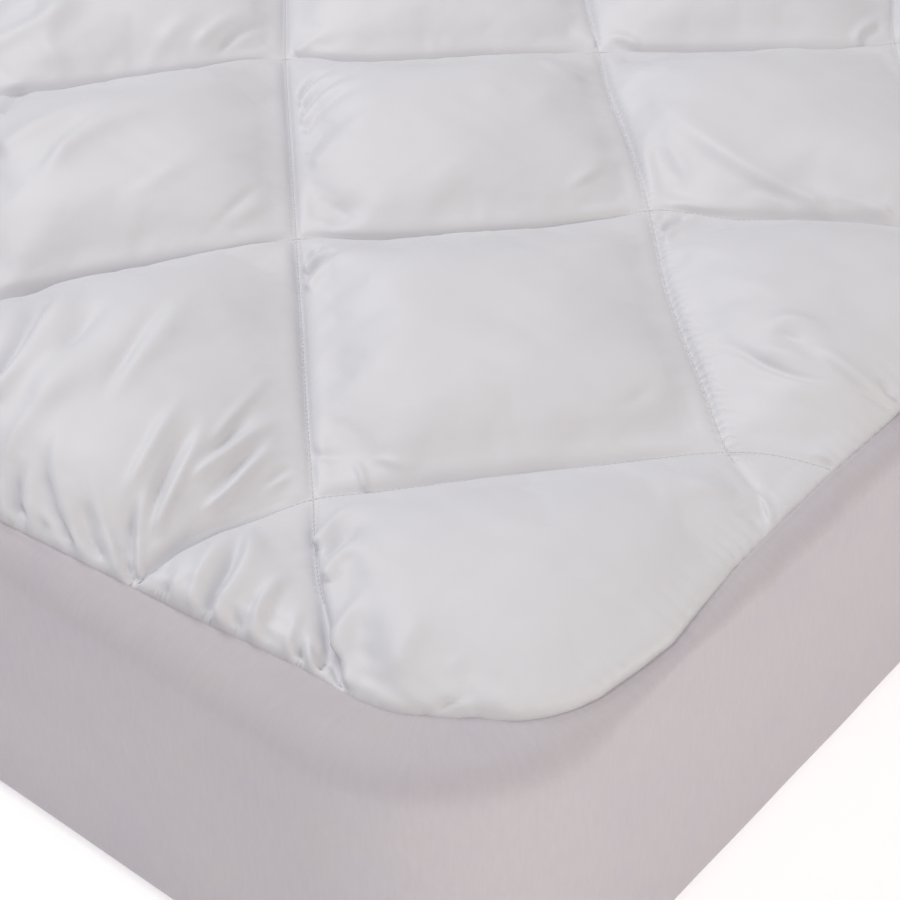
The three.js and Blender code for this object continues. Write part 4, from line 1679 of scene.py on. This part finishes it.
@dataclass(frozen=True)
class ChanceCreases:
    """Creases for the cells that the listed ones don't reach, the same at each run.

    Each crease is a ridge with a shallower valley beside it. Its turn, shift, length and width
    are drawn between limits, in radians and millimetres. No cell gets any whose middle is in the
    part that the photograph shows, or as near the edge as the last fields say, in metres.
    """

    seed: int = 31
    count: tuple[int, int] = (3, 6)
    turn: float = 0.6
    shift: float = 70.0
    length: tuple[float, float] = (25.0, 60.0)
    width: tuple[float, float] = (5.5, 8.5)
    bow: float = 0.18
    ridge: float = 0.4
    valley: float = -0.28
    aside: float = 2.0
    shown_from_x: float = -330 * MM
    shown_to_y: float = -130 * MM
    last_x: float = 430 * MM
    last_y: float = 930 * MM

    def place(self, quilting: Quilting, reach_right: tuple, reach_near: tuple) -> list[Crease]:
        """Draw the creases.

        Args:
            quilting: The panel's quilting, which gives the cells' middles.
            reach_right: First and last stitch line across the picture.
            reach_near: First and last stitch line towards the camera.

        Returns:
            A few creases for each cell.
        """
        chance = np.random.default_rng(self.seed)
        creases = []
        for cell in np.ndindex(reach_right[1] - reach_right[0], reach_near[1] - reach_near[0]):
            right, near = cell[0] + reach_right[0] + 0.5, cell[1] + reach_near[0] + 0.5
            (x,), (y,) = quilting.place(np.array([right]), np.array([near]))
            count = int(chance.integers(*self.count))
            turns = chance.uniform(-self.turn, self.turn, count)
            shifts = chance.uniform(-self.shift, self.shift, (count, 2))
            lengths = chance.uniform(*self.length, count)
            widths = chance.uniform(*self.width, count)
            shown = x > self.shown_from_x and y < self.shown_to_y
            if shown or abs(x) > self.last_x or abs(y) > self.last_y:
                continue
            lean = chance.uniform(0, math.pi)
            for turn, shift, length, width in zip(turns, shifts, lengths, widths):
                step = np.array([math.cos(lean + turn), math.sin(lean + turn)]) * length
                beside = np.array([-step[1], step[0]])
                spot = np.array([x, y]) / MM + shift
                path = np.array([spot - step, spot + beside * self.bow, spot + step])
                creases.append(Crease(path, width, width * self.ridge))
                path = path + beside / length * width * self.aside
                creases.append(Crease(path, width, width * self.valley))
        return creases


def grid_normals(points: Array) -> Array:
    """Unit normals of a grid of points that face up.

    Args:
        points: The grid's points.

    Returns:
        The normal at each point.
    """
    normals = np.cross(np.gradient(points, axis=0), np.gradient(points, axis=1))
    normals *= np.sign(normals[..., 2:3])
    return normals / np.maximum(np.linalg.norm(normals, axis=2, keepdims=True), TINY)


def cut_to_edge(points: Array, inside: Array, edge_height: float) -> tuple[Array, list]:
    """Keep the part of a grid where a distance isn't negative, cut cleanly where it is zero.

    Args:
        points: The grid's points, with any further values of theirs in later columns.
        inside: The distance at each point. A point right beside the cut moves on to it.
        edge_height: Height of the points on the cut.

    Returns:
        The kept points and the faces between them.
    """
    values = np.where(np.abs(inside) < EDGE_SNAP, 0.0, inside).ravel()
    flat = points.reshape(-1, points.shape[2]).copy()
    flat[values == 0.0, 2] = edge_height
    quads = grid_quads(inside.shape)
    kept = (values[quads] >= 0).sum(axis=1)
    faces = quads[kept == 4].tolist()
    extra: list = []
    cuts: dict = {}
    for quad in quads[(kept > 0) & (kept < 4)].tolist():
        ring = []
        for a, b in zip(quad, quad[1:] + quad[:1]):
            if values[a] >= 0:
                ring.append(a)
            if values[a] * values[b] < 0:
                key = (min(a, b), max(a, b))
                if key not in cuts:
                    share = values[a] / (values[a] - values[b])
                    place = flat[a] + (flat[b] - flat[a]) * share
                    place[2] = edge_height
                    cuts[key] = len(flat) + len(extra)
                    extra.append(place)
                ring.append(cuts[key])
        if len(ring) >= 3:
            faces.append(ring)
    every = np.vstack([flat, np.array(extra)])
    used = np.unique(np.concatenate([np.array(face) for face in faces]))
    numbers = new_numbers(used, len(every))
    return every[used], [numbers[face].tolist() for face in faces]


@dataclass
class Stitching:
    """Sewing thread: the quilting's stitches and those of the seam.

    span is how far a stitch's two ends lie from its middle, as shares of the pitch, where they
    are measured to turn it. seam_span is the same on the seam, as a length. clear is how far
    the quilting's stitches stay in from the seam.
    """

    panel: QuiltedPanel
    pitch: float = 3.4 * MM
    length: float = 2.6 * MM
    thickness: float = 0.95 * MM
    sides: int = 5
    span: float = 0.2
    lift: float = 0.12
    clear: float = 1.5 * MM
    seam_pitch: float = 3.3 * MM
    seam_out: float = 0.3 * MM
    seam_lift: float = 0.6
    seam_spacing: float = 3 * MM
    seam_span: float = 1 * MM
    rings: tuple = ((-0.5, 0.25, -0.9), (-0.3, 0.85, 0.1), (0.3, 0.85, 0.1), (0.5, 0.25, -0.9))

    def capsule(self) -> tuple[Array, list]:
        """One stitch along X as points and faces, from rings that are low at its ends.

        Returns:
            The points and the faces between them.
        """
        points = []
        for along, width, lift in self.rings:
            for k in range(self.sides):
                angle = 2 * math.pi * k / self.sides
                points.append((
                    along * self.length,
                    0.5 * self.thickness * width * math.cos(angle),
                    0.5 * self.thickness * (width * math.sin(angle) + lift),
                ))
        faces = []
        for ring in range(0, len(points) - self.sides, self.sides):
            for k in range(self.sides):
                a, b = ring + k, ring + (k + 1) % self.sides
                faces.append((a, a + self.sides, b + self.sides, b))
        faces.append(tuple(range(self.sides)))
        faces.append(tuple(reversed(range(len(points) - self.sides, len(points)))))
        return np.array(points), faces

    def copies(self, name: str, places: Array, turn: Array) -> bpy.types.Object:
        """Join a stitch at each place into one piece.

        Args:
            name: The piece's name.
            places: The stitches' places.
            turn: The way that each lies, as x and y in the first two columns.

        Returns:
            The piece.
        """
        points, faces = self.capsule()
        angles = np.arctan2(turn[:, 1], turn[:, 0])
        cos, sin = np.cos(angles)[:, None], np.sin(angles)[:, None]
        x = places[:, :1] + cos * points[:, 0] - sin * points[:, 1]
        y = places[:, 1:2] + sin * points[:, 0] + cos * points[:, 1]
        z = places[:, 2:3] + points[:, 2]
        joined = np.stack([x, y, z], axis=2).reshape(-1, 3)
        count = len(points)
        every = [tuple(v + k * count for v in face) for k in range(len(places)) for face in faces]
        LOG.info("%s: %d stitches", name, len(places))
        return object_from(name, joined, every)

    def build_quilting(self) -> bpy.types.Object:
        """The stitches along both families of quilting lines.

        Returns:
            The piece.
        """
        rows = [
            self.line_of(family, line)
            for family, reach in (
                (Family.DOWN, self.panel.reach_right), (Family.ACROSS, self.panel.reach_near),
            )
            for line in range(reach[0], reach[1] + 1)
        ]
        return self.copies("quilting_stitches", *(np.vstack(part) for part in zip(*rows)))

    def line_of(self, family: Family, line: int) -> tuple[Array, Array]:
        """The stitches of one quilting line, each between two of the cloth's needle holes.

        Args:
            family: Which family the line belongs to.
            line: Its number.

        Returns:
            The stitches' places and the way that each lies in plan.
        """
        panel = self.panel
        down = family is Family.DOWN
        reach = panel.reach_near if down else panel.reach_right
        step = self.pitch / panel.quilting.side
        free = (np.arange(math.ceil(reach[0] / step), math.floor(reach[1] / step)) + 0.5) * step
        fixed = np.full_like(free, float(line))

        def counts(shift: float) -> tuple[Array, Array]:
            """Counts of squares, right and near, with a shift along the line."""
            along = free + shift * step
            return (fixed, along) if down else (along, fixed)

        start, end = (
            np.stack(panel.quilting.place(*counts(shift)), axis=1)
            for shift in (-self.span, self.span)
        )
        x, y = (start + end).T / 2
        inside, _ = panel.rim.beside_seam(x, y)
        right, near = counts(0.0)
        z, _ = panel.height(right, near, x, y, inside)
        keep = inside > self.clear
        if down:
            keep &= panel.sewn(right, near) > 0.5
        places = np.stack([x, y, z + self.lift * self.thickness], axis=1)
        return places[keep], (end - start)[keep]

    def build_seam(self) -> bpy.types.Object:
        """The stitches that join the panel to the skirt.

        Returns:
            The piece.
        """
        places, normals, _, insets = self.panel.rim.stations(self.seam_spacing)
        flat = places - normals * (insets - self.seam_out)[:, None]
        height = self.panel.underside + self.panel.seam_height * self.seam_lift
        path = np.column_stack([flat, np.full(len(flat), height)])
        path = np.vstack([path, path[:1]])
        steps = np.linalg.norm(np.diff(path, axis=0), axis=1)
        walked = np.concatenate([[0.0], np.cumsum(steps)])
        middles = np.arange(self.seam_pitch / 2, walked[-1], self.seam_pitch)
        spots, ahead, behind = (
            np.stack([np.interp(middles + shift, walked, column) for column in path.T], axis=1)
            for shift in (0.0, self.seam_span, -self.seam_span)
        )
        return self.copies("seam_stitches", spots, ahead - behind)


def arc(
    inset: float, height: float, radius: float, start: float, end: float, steps: int
) -> list[tuple[float, float]]:
    """Places round an arc, each as its inset and height.

    Args:
        inset: The inset of the arc's middle.
        height: The height of its middle.
        radius: Its radius.
        start: The angle above the level, outwards, at which it starts.
        end: The angle at which it ends.
        steps: How many steps it has.

    Returns:
        The places.
    """
    angles = [start + (end - start) * k / steps for k in range(steps + 1)]
    return [(inset - radius * math.cos(a), height + radius * math.sin(a)) for a in angles]


@dataclass
class Skirt:
    """The stretch-knit side, from the seam over the rim, down, round and under to its hem.

    The bands are distances down the cloth from the seam, as where one starts or ends and over
    how far it eases.
    """

    rim: Rim
    top: float
    thickness: float = 1.2 * MM
    shoulder: float = 19 * MM
    shelf: float = 3 * MM
    under_panel: float = 3 * MM
    dip: float = 0.4 * MM
    roll: float = 0.6 * MM
    bottom_edge: float = 12 * MM
    hem_inset: float = 71 * MM
    spacing: float = 7 * MM
    shoulder_steps: int = 9
    wall_steps: int = 15
    bottom_steps: int = 7
    hem_steps: int = 7
    slack: float = 0.5 * MM
    slack_size: float = 120 * MM
    wall_from: tuple[float, float] = (20 * MM, 30 * MM)
    wall_to: tuple[float, float] = (235 * MM, 30 * MM)
    gather: float = 0.45 * MM
    gather_turn: float = 9.5 * MM
    gather_sway: float = 50 * MM
    gather_from: tuple[float, float] = (6 * MM, 20 * MM)
    gather_at: tuple[float, float] = (30 * MM, 28 * MM)
    hem_gather: float = 2.5 * MM
    hem_turn: float = 11 * MM
    hem_sway: float = 30 * MM
    hem_from: tuple[float, float] = (255 * MM, 40 * MM)
    flat_sizes: list = field(default_factory=list)

    def profile(self, seam_inset: float) -> Array:
        """The middle of the cloth at one station, as insets and heights from seam to hem.

        Args:
            seam_inset: How far in the seam is there.

        Returns:
            A row for each place down the cloth.
        """
        half = self.thickness / 2
        top = self.top - half
        shoulder = min(self.shoulder, seam_inset - self.shelf)
        flat = seam_inset - shoulder
        high, low = self.top - shoulder, self.bottom_edge
        rows = [(seam_inset + self.under_panel, top - self.dip), (seam_inset, top)]
        for share in (0.25, 0.5, 0.75):
            rows.append((seam_inset - share * flat, top + self.roll * math.sin(math.pi * share)))
        rows += arc(shoulder, high, shoulder - half, math.pi / 2, 0.0, self.shoulder_steps)
        for k in range(1, self.wall_steps):
            rows.append((half, high + (low - high) * k / self.wall_steps))
        rows += arc(low, low, low - half, 0.0, -math.pi / 2, self.bottom_steps)
        for k in range(1, self.hem_steps + 1):
            rows.append((low + (self.hem_inset - low) * k / self.hem_steps, half))
        return np.array(rows)

    def build(self) -> bpy.types.Object:
        """Make the sheet with a UV map in metres round and down it, and thicken it.

        Returns:
            The cloth.
        """
        places, normals, walked, insets = self.rim.stations(self.spacing)
        profiles = np.stack([self.profile(inset) for inset in insets])
        count, rows = profiles.shape[:2]
        steps = np.linalg.norm(np.diff(profiles, axis=1), axis=2)
        length = np.concatenate([np.zeros((count, 1)), np.cumsum(steps, axis=1)], axis=1)
        profiles = self.ease(profiles, np.broadcast_to(walked[:, None], (count, rows)), length)
        flat = places[:, None, :] - normals[:, None, :] * profiles[..., :1]
        points = np.concatenate([flat, profiles[..., 1:]], axis=2).reshape(-1, 3)
        quads = grid_quads((count + 1, rows))
        piece = object_from("skirt_cloth", points, (quads % (count * rows)).tolist())
        total = walked[-1] + walked[1]
        station, row = np.divmod(quads.ravel(), rows)
        round_way = np.append(walked, total)[station]
        lay_map(piece, "knit", np.column_stack([round_way, -length[station % count, row]]))
        self.flat_sizes = [float(total), float(length[:, -1].max())]
        self.thicken(piece)
        return piece

    def ease(self, profiles: Array, round_way: Array, length: Array) -> Array:
        """Let the stretched cloth lie a little unevenly.

        Args:
            profiles: Inset and height at each station and row.
            round_way: Distance round the rim.
            length: Distance down the cloth from the seam.

        Returns:
            The profiles with the cloth's slight waves.
        """
        def past(band: tuple[float, float]) -> Array:
            """How far beyond the start of a band each place is."""
            return (length - band[0]) / band[1]

        wall = smooth(past(self.wall_from)) * smooth(-past(self.wall_to))
        slack = self.slack * uneven(round_way, length * 0.5, self.slack_size, seed=2.0)
        turn = round_way / self.gather_turn + 2 * np.sin(round_way / self.gather_sway)
        gathers = self.gather * np.sin(turn) * np.exp(-past(self.gather_at) ** 2)
        turn = round_way / self.hem_turn + np.sin(round_way / self.hem_sway)
        hem = self.hem_gather * np.sin(turn) * smooth(past(self.hem_from))
        eased = profiles.copy()
        eased[..., 0] -= (slack + self.slack) * wall + gathers * smooth(past(self.gather_from))
        eased[..., 0] += hem
        return eased

    def thicken(self, piece: bpy.types.Object) -> None:
        """Turn the middle of the cloth into a closed sheet.

        Args:
            piece: The cloth.
        """
        make_active(piece)
        solidify = piece.modifiers.new("thickness", "SOLIDIFY")
        solidify.thickness = self.thickness
        solidify.offset = 0.0
        bpy.ops.object.modifier_apply(modifier=solidify.name)
        bpy.ops.object.mode_set(mode="EDIT")
        turn_outwards()


@dataclass(frozen=True)
class SoftLight:
    """A soft square light: where it hangs, its side, its power in watts and its colour."""

    name: str
    place: tuple[float, float, float]
    size: float
    power: float
    colour: tuple[float, float, float]

    def hang(self, target: tuple[float, float, float]) -> None:
        """Hang the light so that it faces a place.

        Args:
            target: The place.
        """
        data = bpy.data.lights.new(self.name, "AREA")
        data.shape = "SQUARE"
        data.size = self.size
        data.energy = self.power
        data.color = self.colour
        light = bpy.data.objects.new(self.name, data)
        bpy.context.scene.collection.objects.link(light)
        facing = (Vector(self.place) - Vector(target)).to_track_quat("Z", "Y")
        light.matrix_world = Matrix.Translation(self.place) @ facing.to_matrix().to_4x4()


LIGHTS = (
    SoftLight("key", place=(-2.6, -0.13, 3.4), size=2.8, power=97.0, colour=(1.0, 0.99, 0.98)),
    SoftLight("front", place=(0.9, -2.0, 3.2), size=2.4, power=16.0, colour=(0.97, 0.96, 1.0)),
    SoftLight("warm_side", place=(3.4, -1.4, 1.9), size=2.4, power=45.0, colour=(1.0, 0.87, 0.72)),
)


@dataclass
class Studio:
    """White floor, soft light and the camera."""

    view: Viewpoint = Viewpoint()
    floor_size: float = 30.0
    lit_place: tuple[float, float, float] = (0.1, -0.6, 0.2)
    air: tuple[float, float, float, float] = (0.975, 0.975, 1.0, 1.0)
    air_light: float = 0.395
    sight: float = 100.0

    def build_floor(self) -> bpy.types.Object:
        """Lay the floor under the hem.

        Returns:
            The floor.
        """
        deselect_all()
        bpy.ops.mesh.primitive_plane_add(size=self.floor_size, location=(0, 0, 0))
        floor = bpy.context.active_object
        floor.name = "floor"
        floor.data.materials.append(PaleFloor().material())
        return floor

    def build_lights(self) -> None:
        """Light the scene from above, from the left behind and weakly from the right."""
        world = bpy.data.worlds.new("studio")
        world.use_nodes = True
        background = world.node_tree.nodes["Background"]
        background.inputs["Color"].default_value = self.air
        background.inputs["Strength"].default_value = self.air_light
        bpy.context.scene.world = world
        for light in LIGHTS:
            light.hang(self.lit_place)

    def build_camera(self) -> None:
        """Set the camera at the photograph's angle."""
        data = bpy.data.cameras.new("camera")
        data.lens = self.view.lens
        data.sensor_width = self.view.sensor
        data.clip_end = self.sight
        camera = bpy.data.objects.new("camera", data)
        bpy.context.scene.collection.objects.link(camera)
        turn = Matrix(self.view.axes()).transposed().to_4x4()
        camera.matrix_world = Matrix.Translation(self.view.place) @ turn
        bpy.context.scene.camera = camera
        bpy.context.scene.view_settings.view_transform = "Standard"


def dress(piece: bpy.types.Object, material: bpy.types.Material) -> None:
    """Give a piece its finish and let it ride on the one body.

    Args:
        piece: The piece.
        material: Its finish.
    """
    piece.data.materials.clear()
    piece.data.materials.append(material)
    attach(piece, "root")
    LOG.info("%s: %d faces", piece.name, len(piece.data.polygons))


def main() -> None:
    """Build the protector piece by piece, then the studio."""
    logging.basicConfig(level=logging.INFO, format="%(name)s: %(message)s")
    studio = Studio()
    studio.build_camera()
    _, skirt_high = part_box("skirt")
    panel_low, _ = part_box("quilted_panel")
    rim = Rim(half_width=skirt_high[0], half_length=skirt_high[1])
    quilting = Quilting()
    panel = QuiltedPanel(
        rim, quilting, underside=panel_low[2], stitch_plane=206.9 * MM, settling=Settling()
    )
    cloth = panel.build()
    stitching = Stitching(panel)
    dress(cloth, Microfibre(quilting.side, stitching.pitch).material())
    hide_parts("quilted_panel")
    thread = Thread().material()
    for stitches in (stitching.build_quilting(), stitching.build_seam()):
        dress(stitches, thread)
    skirt = Skirt(rim, top=skirt_high[2])
    knit = skirt.build()
    dress(knit, StretchKnit().material())
    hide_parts("skirt")
    mattress = bpy.data.objects["mattress"]
    mattress.data.materials.clear()
    mattress.data.materials.append(Ticking().material())
    studio.build_floor()
    studio.build_lights()


if __name__ == "__main__":
    main()
